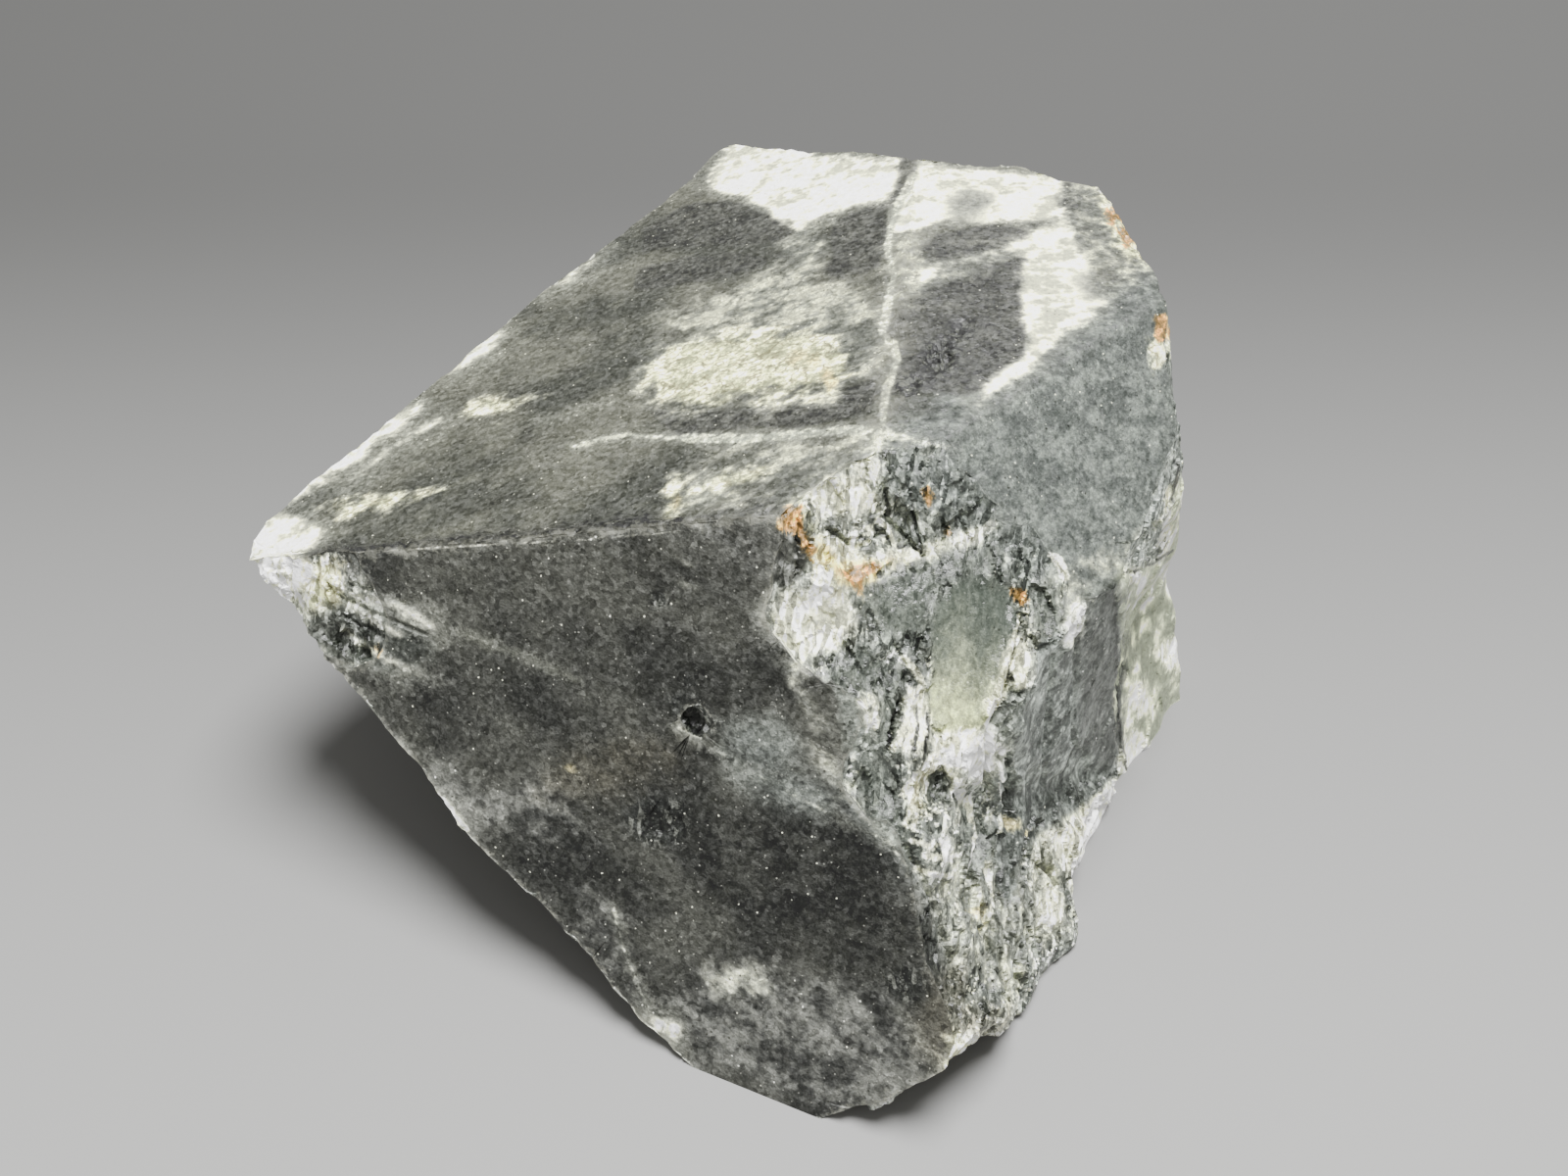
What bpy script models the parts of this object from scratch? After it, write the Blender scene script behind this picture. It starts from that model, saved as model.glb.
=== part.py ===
"""A rough hand-sized stone: a block with sawn top and front faces, the other sides broken.

Metres, +Z up. The stone stands on its level underside at z = 0, with the origin under the middle of
its box. Its sharp left corner points to -X and its sawn front face looks towards -Y.
"""

import math

import bmesh
import bpy
from mathutils import Matrix, Vector, noise

# The shape is worked out in millimetres around a point near the stone's middle. At the end it is
# moved so that the origin is under the middle of its box, and scaled to metres.
MM = 0.001
BOX_MIDDLE = Vector((-3.06, 6.52, 0.0))

# Every flat face is one cut through a larger block: the way it faces (azimuth from +X), how far it
# leans up or down (rise), both in degrees, and its distance in mm from the centre of the stone.
CENTRE = Vector((0.0, 0.0, 18.0))
BLOCK_SIZE = 160.0
SAWN_FACES = {
    "top": (166.0, 73.0, 18.1),
    "top right": (72.0, 88.0, 21.3),
    "front": (-113.0, 32.0, 20.2),
    "shoulder": (-43.5, 45.5, 24.1),
}
BROKEN_FACES = {
    "broken front right": (-62.0, 44.5, 22.4),
    "right side": (-28.0, 11.5, 28.5),
    "right end": (-15.5, 11.0, 33.0),
    "right upper back": (4.5, 14.0, 36.0),
    "right back corner": (3.0, 10.0, 34.6),
    "back": (61.0, -4.0, 42.0),
    "back foot": (74.0, -34.0, 36.5),
    "back left": (143.0, -1.5, 36.5),
    "back left foot": (128.0, -38.0, 33.0),
    "left edge": (141.0, -6.5, 35.6),
    "left tip": (-173.5, -15.5, 41.2),
    "left underside": (-179.0, -59.0, 19.9),
    "front foot left": (173.5, -59.5, 17.6),
    "front foot right": (-65.0, -27.5, 40.8),
    "heel": (-48.5, -2.0, 37.2),
}
# The rough stone is first made a little too big on its sawn sides and below the ground. The saw cuts
# and the level underside come last, so that their edges run through the broken relief.
SAW_ALLOWANCE = 2.5
BELOW_GROUND = 2.8

# A notch takes away what lies beyond all of its walls, which are given like the faces above.
NOTCHES = {
    "back edge notch": ((51.0, -1.0, 36.6), (75.0, -1.0, 39.1)),
    "step beside the green patch": ((-12.0, -8.0, 17.0), (-44.5, 4.0, 25.2), (-22.0, 34.0, 16.8)),
    "right hollow": ((22.0, 4.0, 23.4), (-34.0, -2.5, 25.4), (-34.5, 23.0, 20.5)),
}

# A scoop is a shallow bowl: its middle on the surface, the way it faces, its radius and its depth.
SCOOPS = {
    "scallop on the front edge": ((2.9, -17.6, 31.9), (-90.0, 40.0), 6.0, 0.9),
    "lower scallop on the front edge": ((7.4, -24.0, 24.6), (-90.0, 38.0), 4.5, 0.8),
    "green patch": ((11.8, -18.4, 28.0), (-60.0, 42.0), 8.5, 1.3),
    "void under the ridge": ((5.4, -13.6, 36.0), (-70.0, 40.0), 2.1, 1.5),
    "void right of the ridge": ((8.9, -12.1, 35.6), (-60.0, 45.0), 2.3, 1.5),
    "cleft left of the green patch": ((7.0, -19.6, 29.2), (-75.0, 40.0), 2.2, 1.6),
    "cleft below the green patch": ((11.4, -24.2, 22.6), (-60.0, 40.0), 2.6, 1.6),
    "trough to the heel": ((14.2, -30.2, 15.0), (-60.0, 30.0), 5.0, 1.4),
    "waist above the heel": ((28.4, -14.4, 2.5), (-28.0, 6.0), 9.5, 2.6),
    "chip at the left corner": ((-36.6, -6.8, 23.4), (-120.0, 34.0), 6.5, 0.9),
    "bite in the right edge": ((33.6, 9.5, 33.0), (-8.0, 35.0), 5.0, 1.2),
    "bite in the back right corner": ((31.4, 25.0, 38.0), (12.0, 45.0), 6.0, 1.4),
    "dish in the back": ((14.0, 41.0, 16.0), (62.0, -8.0), 15.0, 2.6),
    "dish in the back left": ((-23.0, 33.0, 14.0), (140.0, -8.0), 13.0, 2.2),
}
# The balls that cut them have few facets, fewer still where they are small, and are a little bigger
# to make up for that.
SMALL_SCOOP = 3.0
SMALL_FACETING, SMALL_FACETED_BALL = 1, 1.12
SCOOP_FACETING, FACETED_BALL = 2, 1.03
# Pits are small scoops in the finished sawn faces.
PITS = {
    "pit in the front face": ((-6.6, -19.4, 23.4), (-113.0, 32.0), 1.2, 1.1),
}

# Broken faces are dished on three scales, in mm across and in mm deep, and have a finer grain.
REMESH_STEP = 0.5
DISHES = ((15.0, 1.7), (6.5, 0.9), (3.2, 0.4))
DISH_STRETCH = Vector((1.0, 1.0, 0.45))
DISH_MEAN = 0.2
# The left end broke more evenly than the right.
EVEN_UP_TO_X = -12.0
ROUGH_FROM_X = 4.0
EVEN_SHARE = 0.55
GRAIN_SIZE = 2.4
GRAIN_HEIGHT = 0.12
# The green patch broke smoothly.
SMOOTH_PATCH = Vector((11.8, -18.8, 28.0))
SMOOTH_RADIUS = 8.0
SMOOTH_SHARE = 0.2
TRIANGLES = 15000
SHORTEST_EDGE = 0.02

STONE_COLOUR = (0.105, 0.108, 0.105, 1.0)
STONE_ROUGHNESS = 0.62


def direction(azimuth, rise):
    turn = math.radians(azimuth)
    lift = math.radians(rise)
    return Vector((math.cos(turn) * math.cos(lift), math.sin(turn) * math.cos(lift), math.sin(lift)))


def clear_scene():
    for old in list(bpy.data.objects):
        bpy.data.objects.remove(old, do_unlink=True)


def new_collection(name):
    made = bpy.data.collections.new(name)
    bpy.context.scene.collection.children.link(made)
    return made


def cut_away(shape, point, normal):
    """Removes what lies beyond a plane and closes the cut with one flat face."""
    everything = shape.verts[:] + shape.edges[:] + shape.faces[:]
    cut = bmesh.ops.bisect_plane(
        shape, geom=everything, dist=0.0001, plane_co=point, plane_no=normal, clear_outer=True
    )
    rim = [item for item in cut["geom_cut"] if isinstance(item, bmesh.types.BMEdge)]
    bmesh.ops.holes_fill(shape, edges=rim, sides=0)


def block_of_cuts(name, cuts, outwards, collection):
    """A block cut by each plane, keeping its inner side, or its outer side where outwards is -1."""
    shape = bmesh.new()
    bmesh.ops.create_cube(shape, size=BLOCK_SIZE, matrix=Matrix.Translation(CENTRE))
    for azimuth, rise, reach in cuts:
        facing = direction(azimuth, rise)
        cut_away(shape, CENTRE + facing * reach, facing * outwards)
    bmesh.ops.recalc_face_normals(shape, faces=shape.faces[:])
    mesh = bpy.data.meshes.new(name)
    shape.to_mesh(mesh)
    shape.free()
    made = bpy.data.objects.new(name, mesh)
    collection.objects.link(made)
    return made


def scoop_cutter(name, middle, facing, radius, depth, collection):
    """A faceted ball that cuts a dish of this radius and depth, turned its own way by where it is."""
    ball = (radius * radius + depth * depth) / (2.0 * depth)
    away = direction(*facing) * (ball - depth)
    small = radius < SMALL_SCOOP
    bpy.ops.mesh.primitive_ico_sphere_add(
        subdivisions=SMALL_FACETING if small else SCOOP_FACETING,
        radius=ball * (SMALL_FACETED_BALL if small else FACETED_BALL),
        location=Vector(middle) + away,
        rotation=Vector(middle),
    )
    made = bpy.context.object
    made.name = name
    made.data.name = name
    for home in list(made.users_collection):
        home.objects.unlink(made)
    collection.objects.link(made)
    return made


def take_away(body, cutter):
    cutter.hide_render = True
    cutter.display_type = "WIRE"
    cut = body.modifiers.new(cutter.name, "BOOLEAN")
    cut.operation = "DIFFERENCE"
    cut.solver = "EXACT"
    cut.object = cutter


def settle(body):
    """Replaces the body's mesh with what its modifiers make, and clears them."""
    bpy.context.view_layer.update()
    finished = bpy.data.meshes.new_from_object(body.evaluated_get(bpy.context.evaluated_depsgraph_get()))
    body.modifiers.clear()
    old = body.data
    body.data = finished
    bpy.data.meshes.remove(old)


def dished_break(point, size, seed):
    """Shallow bowls that meet in ridges, like a break through coarse crystals."""
    spot = (point * DISH_STRETCH) / size + Vector((seed, 2.0 * seed, 3.0 * seed))
    heights = []
    for distance, middle in zip(*noise.voronoi(spot)):
        turn = noise.cell_vector(middle * 37.0) - Vector((0.5, 0.5, 0.5))
        heights.append(1.1 * distance * distance + 1.2 * turn.dot(spot - middle) + 0.8 * turn.z)
    return min(heights) - DISH_MEAN


def broken_relief(point):
    height = 0.0
    for number, (size, depth) in enumerate(DISHES, start=1):
        height += depth * dished_break(point, size, 5.3 * number)
    height += GRAIN_HEIGHT * noise.fractal(point / GRAIN_SIZE, 0.9, 2.1, 3)
    away = (point - SMOOTH_PATCH).length / SMOOTH_RADIUS
    share = min(max(2.0 * away - 1.0, 0.0), 1.0)
    across = min(max((point.x - EVEN_UP_TO_X) / (ROUGH_FROM_X - EVEN_UP_TO_X), 0.0), 1.0)
    evenness = EVEN_SHARE + (1.0 - EVEN_SHARE) * across
    return height * evenness * (SMOOTH_SHARE + (1.0 - SMOOTH_SHARE) * share)


def roughen(body):
    shape = bmesh.new()
    shape.from_mesh(body.data)
    shape.normal_update()
    moves = [(corner, corner.normal * broken_relief(corner.co)) for corner in shape.verts]
    for corner, move in moves:
        corner.co += move
    shape.to_mesh(body.data)
    shape.free()


def thin_out(body):
    body.data.calc_loop_triangles()
    fewer = body.modifiers.new("Fewer triangles", "DECIMATE")
    fewer.ratio = TRIANGLES / len(body.data.loop_triangles)
    fewer.use_collapse_triangulate = True
    settle(body)


def tidy_and_scale(body):
    """Closes up slivers that the cuts left, moves the stone to its origin and brings it to metres."""
    shape = bmesh.new()
    shape.from_mesh(body.data)
    bmesh.ops.remove_doubles(shape, verts=shape.verts[:], dist=SHORTEST_EDGE)
    bmesh.ops.dissolve_degenerate(shape, edges=shape.edges[:], dist=SHORTEST_EDGE)
    bmesh.ops.triangulate(shape, faces=shape.faces[:])
    bmesh.ops.recalc_face_normals(shape, faces=shape.faces[:])
    bmesh.ops.translate(shape, vec=-BOX_MIDDLE, verts=shape.verts[:])
    bmesh.ops.scale(shape, vec=(MM, MM, MM), verts=shape.verts[:])
    shape.to_mesh(body.data)
    shape.free()


def stone_material():
    made = bpy.data.materials.new("stone")
    made.use_nodes = True
    surface = made.node_tree.nodes["Principled BSDF"]
    surface.inputs["Base Color"].default_value = STONE_COLOUR
    surface.inputs["Roughness"].default_value = STONE_ROUGHNESS
    surface.inputs["Metallic"].default_value = 0.0
    made.diffuse_color = STONE_COLOUR
    return made


def main():
    clear_scene()
    parts = new_collection("Sphalerite freeform")
    cutters = new_collection("Cutters")
    ground = (0.0, -90.0, CENTRE.z)
    faces = [(azimuth, rise, reach + SAW_ALLOWANCE) for azimuth, rise, reach in SAWN_FACES.values()]
    faces += list(BROKEN_FACES.values())
    faces.append((0.0, -90.0, CENTRE.z + BELOW_GROUND))
    stone = block_of_cuts("stone", faces, 1.0, parts)
    for name, walls in NOTCHES.items():
        take_away(stone, block_of_cuts(name, walls, -1.0, cutters))
    for name, scoop in SCOOPS.items():
        take_away(stone, scoop_cutter(name, *scoop, cutters))
    settle(stone)
    even = stone.modifiers.new("Even mesh", "REMESH")
    even.mode = "VOXEL"
    even.voxel_size = REMESH_STEP
    settle(stone)
    roughen(stone)
    thin_out(stone)
    for name, face in SAWN_FACES.items():
        take_away(stone, block_of_cuts("saw cut " + name, [face], -1.0, cutters))
    take_away(stone, block_of_cuts("level underside", [ground], -1.0, cutters))
    for name, pit in PITS.items():
        take_away(stone, scoop_cutter(name, *pit, cutters))
    settle(stone)
    tidy_and_scale(stone)
    for cutter in cutters.objects:
        cutter.scale = (MM, MM, MM)
        cutter.location = (cutter.location - BOX_MIDDLE) * MM
    stone.data.materials.clear()
    stone.data.materials.append(stone_material())


main()
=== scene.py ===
"""The looks of a rough hand-sized stone: dark grey rock with white, cream and pale green crystal in it.

The solid's own mesh is refined, its broken faces get a finer relief, and its markings are painted as
named shapes. Millimetres in the part's frame, except where a name says otherwise.
"""

import math

import bmesh
import bpy
import numpy as np
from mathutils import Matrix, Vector, noise
from mathutils.bvhtree import BVHTree
from mathutils.kdtree import KDTree


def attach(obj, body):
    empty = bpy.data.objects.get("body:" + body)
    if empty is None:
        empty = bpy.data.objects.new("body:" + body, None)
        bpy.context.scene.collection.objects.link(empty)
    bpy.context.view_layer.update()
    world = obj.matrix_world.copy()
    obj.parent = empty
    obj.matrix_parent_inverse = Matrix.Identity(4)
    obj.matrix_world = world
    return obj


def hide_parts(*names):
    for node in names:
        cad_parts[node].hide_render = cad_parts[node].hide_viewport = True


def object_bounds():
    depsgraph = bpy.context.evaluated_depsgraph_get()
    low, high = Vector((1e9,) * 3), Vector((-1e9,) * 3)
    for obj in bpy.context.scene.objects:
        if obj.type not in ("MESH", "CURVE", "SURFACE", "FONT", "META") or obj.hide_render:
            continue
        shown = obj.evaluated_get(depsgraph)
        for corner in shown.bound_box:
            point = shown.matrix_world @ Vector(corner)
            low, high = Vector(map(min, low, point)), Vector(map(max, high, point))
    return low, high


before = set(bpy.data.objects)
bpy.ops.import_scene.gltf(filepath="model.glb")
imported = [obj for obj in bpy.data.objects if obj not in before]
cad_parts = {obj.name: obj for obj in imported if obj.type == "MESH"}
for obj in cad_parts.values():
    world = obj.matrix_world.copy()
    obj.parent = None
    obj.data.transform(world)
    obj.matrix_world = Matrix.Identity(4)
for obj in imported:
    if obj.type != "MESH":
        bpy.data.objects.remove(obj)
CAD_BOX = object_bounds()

MM = 0.001
SEED = 7
FAR_AWAY, TINY = 1e9, 1e-12

# The photograph: where it was taken from, and its lens. Markings are given in its pixels.
EYE = np.array((3.06, -97.03, 108.51))
LOOKS_DOWN = math.radians(45.0)
LENS, SENSOR = 34.0, 36.0
PHOTO_WIDTH, PHOTO_HEIGHT = 1600.0, 1200.0
FOCAL = LENS / SENSOR * PHOTO_WIDTH
FORWARD = np.array((0.0, math.cos(LOOKS_DOWN), -math.sin(LOOKS_DOWN)))
RIGHT = np.array((1.0, 0.0, 0.0))
UP = np.array((0.0, math.sin(LOOKS_DOWN), math.cos(LOOKS_DOWN)))
# The nearest and furthest that the camera draws, in metres.
CAMERA_REACH = (0.005, 20.0)
# The grid that is laid over the photograph, in pixels, and how many of its cells around a line are
# looked at.
GRID, GRID_MARGIN = 3.0, 6

# The sawn faces of the solid: the way each faces and its distance from the stone's middle.
CENTRE = np.array((3.06, -6.52, 18.0))
SAWN_FACES = {
    "top": (166.0, 73.0, 18.1),
    "top right": (72.0, 88.0, 21.3),
    "front": (-113.0, 32.0, 20.2),
    "shoulder": (-43.5, 45.5, 24.1),
}
# How near two points are to be one, how near a point is to a plane to lie on it, and how far in the
# front's rock reaches.
WELD, TOUCHES, FRONT_DEPTH = 0.002, 0.03, 0.6

# Lengths of the mesh's edges. Each edge that is too long is cut at its middle, the longest ones first.
FINEST_EDGE = 0.3
BROKEN_EDGE = 0.34
RIDGE_EDGE = 0.7
LINE_EDGE = 0.45
MARKED_EDGE = 1.05
FLAT_EDGE = 2.6
NEARLY_HIDDEN_EDGE = 0.95
HIDDEN_EDGE = 1.6
LONGEST_EDGE = 40.0
EDGE_STEP = 0.78
# While the longest edges are longer than this, they are cut wherever they are.
CUT_ANYWHERE = 2.4
# How near to a line, an outline or a hollow the mesh is finer, in pixels, and to a face or a ridge.
NEAR_LINE, NEAR_OUTLINE, NEAR_HOLLOW = 5.0, 8.0, 4.0
NEAR_FACE, NEAR_RIDGE = 0.05, 0.6
# How far behind what the photograph shows a hollow's points may be, and those that are hardly seen or
# not at all.
HOLLOW_BEHIND, HARDLY_SEEN, NOT_SEEN = 2.0, 1.2, 5.0

# How near to the shoulder's edge its faces are rounded, and how the points there and on the broken
# side are smoothed.
ROUNDED = 1.8
SMOOTHING_TURNS, SMOOTHING_SHARE = 10, 0.5

# The broken relief: facets this far apart, this much longer down the face, tilted this much, with
# steps this high, and nothing higher than the last value.
SHARDS = ((3.6, 1.8, 0.28, 0.14, 0.36), (1.6, 2.1, 0.32, 0.10, 0.18), (0.8, 1.7, 0.25, 0.04, 0.06))
SHARD_SURPLUS, FEWEST_SHARDS = 1.4, 60
SHARD_FALL = np.array((0.0, -0.74, -0.67))
# Lumps over the facets: size, seed of the noise and height.
LUMPS = (1.1, 3.0, 0.07)
NOISE_SHIFT = (17.3, 5.1, 9.7)
# Where the relief rises from nothing: away from the sawn faces and from the ground.
RELIEF_RISE, GROUND_RISE = (0.0, 0.5), (0.0, 0.6)
# The share of the relief that is left out of sight, and how deep and how sharply its zones go.
HIDDEN_CALM, ZONE_DEPTH, ZONE_EDGE = 0.5, 4.0, 0.4
# How far behind what the photograph shows the stone goes out of its sight.
OUT_OF_SIGHT = (0.5, 3.0)

# How deep into the stone grooves and hollows are followed, and how a hollow's side falls.
GROOVE_REACH, HOLLOW_REACH = 3.0, 2.5
HOLLOW_SIDE = (-0.1, 0.45)
# Hollows less deep than the first value have rubble in them: least share, more share, size and seed.
SHALLOW = 0.6
RUBBLE = (0.6, 0.6, 0.35, 5.0)
# Hollows keep away from the sawn edges.
GUARDED = (0.2, 0.9)

# Chips along the sawn edges: depth, width, and noise as size, seed and amount, with an even part.
CHIP_DEPTH, CHIP_WIDTH = 0.35, 0.75
CHIP_NOISE = ((0.7, 8.0, 0.9), (2.4, 9.0, 0.6))
CHIP_EVENLY = 0.25

# The values stored at the mesh's points stay between these, the distance to an edge and the depth of
# what is carved below the last two.
STORED = (-4.0, 12.0)
MOST_TO_EDGE, MOST_CARVED = 3.0, 1.5
# Between these depths under the shoulder its rock fades out, and between these rows of the photograph
# the green crystal turns paler.
SHOULDER_FADE = (0.3, 6.0)
GLOW_ROWS = (600.0, 760.0)
SHARP_EDGE = math.radians(22.0)

# The directions that the grain runs in on the top, on the front and down the broken side.
TOP_GRAIN = (0.92, 0.31, 0.25)
FRONT_GRAIN = (0.83, -0.51, -0.23)
BROKEN_GRAIN = (-0.05, -0.76, -0.65)
HALVES, ONES = (0.5,) * 3, (1.0,) * 3

# The lamp and the world, in metres and watts.
LAMP_PLACE = (0.12, 0.12, 0.75)
LAMP_AIM = (0.0, 0.0, 0.02)
LAMP_POWER, LAMP_SIZE = 27.0, 0.42
WORLD_COLOUR, WORLD_STRENGTH = (1.0, 0.995, 0.955, 1.0), 0.60
# The light: a white surface that faces the lamp squarely sends this much to the camera, one that faces
# away sends the second amount, and the sheen adds a share of it. Hidden sides take the third amount,
# and no surface counts as turned further away than the last value.
LAMP_LIGHT, SKY_LIGHT, HIDDEN_LIGHT, LEAST_SQUARE = 4.35, 0.38, 2.4, 0.12
SHEEN = 0.017
# The screen's curve: a level's odds over the first value, to the power of the second, is its light.
SCREEN_MIDDLE, SCREEN_POWER = 3.46, 1.216
DARKEST_SHOWN, LIGHTEST_SHOWN = 0.06, 0.95
DIMMEST, BRIGHTEST = 0.003, 0.9
MOST_LEVEL = 255.0

# Half the floor's width in metres, its colours near and far, and where it darkens towards the back: painted
# light, bright near the camera and falling off towards the back.
FLOOR_SIZE = 3.0
FLOOR_NEAR, FLOOR_FAR = (0.2, 0.2, 0.196, 1.0), (0.03, 0.03, 0.029, 1.0)
FLOOR_LIGHT_FALLOFF = (-90.0, 100.0)
FLOOR_ROUGHNESS = 0.75

# The stone's shine, and the height and strength of its finest bumps.
GLASSY, LEAST_MATT, MOST_MATT = 0.16, 0.34, 0.74
REFRACTION, SPECULAR = 1.52, 0.35
BUMP_HEIGHT, BUMP_STRENGTH = 0.12, 0.6
# How much the grains of the sawn faces lean, and the large and small crystals of the broken side.
GRAIN_LEAN, LARGE_LEAN, SMALL_LEAN = 0.35, 0.35, 0.45

# Patterns of the rock as size, detail and roughness.
CLOUDS = (8.0, 2.0, 0.5)
WISPS = (2.4, 3.0, 0.6)
MIDDLING = (1.0, 2.0, 0.55)
FINE = (0.42, 3.0, 0.7)
FINEST = (0.17, 2.0, 0.7)
BANDS = (12.0, 5.0, 0.55)
FOLDS = (1.3, 2.0, 0.5)
STREAKS = (2.2, 3.0, 0.6)
# Sizes of the grains, of the crystals of the broken side, and of other cells.
GRAIN_SIZE, LARGE_SIZE, SMALL_SIZE, GLINT_SIZE, NODULE_HIGHLIGHT_SIZE, SEAM_SIZE = 0.34, 1.3, 0.36, 0.24, 2.3, 1.9
# How much longer patterns are along the grain than across it: on the top, on the front and on the
# broken side for the grain and for wisps, and for crystals and streaks.
GRAIN_STRETCH, WISP_STRETCH = (1.12, 1.15, 1.5), (1.4, 1.6, 2.4)
LARGE_STRETCH, SMALL_STRETCH, STREAK_STRETCH = 2.4, 2.8, 3.0
# How far noise moves a pattern about, so that its edges are uneven: size of the noise and distance.
SHIFTS = {
    "wisps": (3.0, 1.2),
    "grains": (0.5, 0.25),
    "large crystals": (1.4, 0.7),
    "small crystals": (0.6, 0.25),
    "glints": (0.4, 0.25),
    "nodule_highlights": (3.0, 2.6),
    "bands": (9.0, 7.0),
    "dots": (0.4, 0.2),
}
SHIFT_DETAIL = 3.0
# How much each pattern swings where some are added up, in the order in which they are given there.
SWINGS = {
    "crystal": (0.8, 0.25, 0.8, 2.0),
    "mottle": (1.2, 1.6),
    "shoulder": (1.0,),
    "flakes": (1.0,),
    "glints": (0.8, 0.8),
    "white fade and glow": (4.0, 2.0),
    "vein fade and glow": (1.5, 1.5),
    "flat tone": (1.6, 1.2, 1.2),
    "soft tone": (1.6, 1.2, 0.8),
    "pits": (1.0,),
    "green": (1.0, 0.6),
    "nodule_highlights": (1.8, 0.7),
    "facet": (1.8, 1.6, 1.2),
    "flat wander": (5.0,),
    "broken wander": (1.2, 0.5),
    "flat crumble": (1.6, 1.6),
    "broken crumble": (2.0, 3.5),
    "bands": (0.12,),
    "folds": (1.0,),
    "grain": (0.30, 0.30, 0.10),
    "shade": (0.06, 0.20),
    "rim": (2.0, 2.4),
    "matt": (0.5, 0.6),
    "bump": (0.6,),
}
# Where each pattern takes effect: from one value of it to another, and from one share to another where
# they aren't nothing and all.
RAMPS = {
    "far side": (2.0, 8.0),
    "crystal": (-0.6, 0.6),
    "clouds": (0.36, 0.62),
    "mottle": (-0.26, 0.26),
    "shoulder": (0.1, 0.9),
    "flakes": (0.56, 0.64, 0.0, 0.8),
    "glints": (0.54, 0.66),
    "white fade and glow": (-2.2, 0.1, 0.0, 0.6),
    "vein fade and glow": (-0.9, 0.0, 0.0, 0.45),
    "flat tone": (-0.34, 0.34),
    "soft tone": (-0.3, 0.3),
    "white": (-0.3, 0.7),
    "pits": (0.5, 0.9),
    "green": (-0.1, 1.1),
    "nodules_and_highlights": (0.7, 0.05),
    "facet": (-0.36, 0.44),
    "haze in wisps": (0.34, 0.54, 0.65, 1.0),
    "folds": (0.035, 0.0, 0.0, 0.5),
    "grain where even": (0.0, 1.0, 1.0, 0.35),
    "seams": (0.05, 0.01),
    "seams by place": (0.5, 0.65),
    "rim": (0.5, 0.0),
    "rim where even": (0.0, 0.6, 1.0, 0.0),
    "rim at shoulder": (0.3, 0.8, 1.0, 0.15),
    "shade in hollows": (0.3, 1.0, 0.0, 0.3),
    "dots where even": (0.2, 0.8, 1.0, 0.3),
    "matt": (-0.4, 0.4, LEAST_MATT, MOST_MATT),
    "crystals where calm": (0.0, 1.0, 1.0, 0.15),
}
# The same for the pale and the dark wisps of each rock, and for bands of pale crystal out of sight.
TOP_WISPS = ((0.52, 0.74, 0.0, 0.55), (0.46, 0.30, 0.0, 0.35))
FRONT_WISPS = ((0.54, 0.78, 0.0, 0.5), (0.46, 0.28, 0.0, 0.5))
FAR_WISPS = ((0.50, 0.70, 0.0, 0.6),)
FAR_BANDS = {"white": (0.63, 0.66), "haze": (0.50, 0.62, 0.0, 0.7)}
# How much each of these counts.
SHARES = {"flakes": 0.6, "glints": 0.7, "far rock": 0.85, "seams": 0.25, "rim": 0.5, "broken shine": 0.6,
          "glassy": 0.8, "far calm": 0.6}
# Markings that are more even than the rock, and those that are calmer on the broken side.
EVEN = {"white": 1.0, "nodules_and_highlights": 1.0, "green": 0.5, "cream": 0.6}
CALM = {"green": 1.0, "nodules_and_highlights": 1.0, "facet": 1.0, "grey": 0.7}
# Single grains: painted glints, bright where a grain would catch the light, and dark ones where grains have
# fallen out: size of their cells, how rare they are, width, how much they cover, and their level on the
# screen. They are a little yellow, and their edges soft.
GLINT_AND_GAP_DOTS = ((0.62, 0.84, 0.17, 0.85, 238), (0.33, 0.88, 0.26, 0.6, 214), (0.55, 0.84, 0.2, 0.55, 36))
DOT_YELLOW, DOT_CHOICE, DOT_CORE = 8, 0.05, 0.55

# Bare rock as it looks on the screen, in levels: its dim and bright clouds, and its pale and dark wisps.
TOP_ROCK = ((106, 108, 101), (139, 140, 129), (164, 165, 151), (88, 89, 83))
# The front's rock is the top's rock painted darker, as it looks in the lesser light on the front: a shaded
# copy, whose shade the last step divides out.
FRONT_ROCK_IN_SHADE = ((68, 69, 66), (96, 97, 91), (124, 125, 117), (52, 53, 50))
FAR_ROCK = ((88, 90, 85), (124, 126, 118), (162, 164, 153))
SHOULDER_ROCK = ((106, 111, 106), (168, 173, 166))
CRYSTAL_ROCK = ((100, 104, 99), (172, 176, 168))
FLAKE, GLINT = (226, 227, 216), (240, 241, 231)
# The halos around white crystal and veins are partly the rock's own paler colour and partly painted glow of
# light through the crystal.
WHITE_FADE_AND_GLOW, VEIN_FADE_AND_GLOW = (186, 188, 177), (176, 178, 166)
# The last of these colours is painted shade, where the rock is carved into hollows and grooves.
FOLD, SEAM, RIM, HOLLOW_SHADE = (152, 148, 118), (84, 87, 81), (190, 190, 178), (66, 69, 64)

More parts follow.
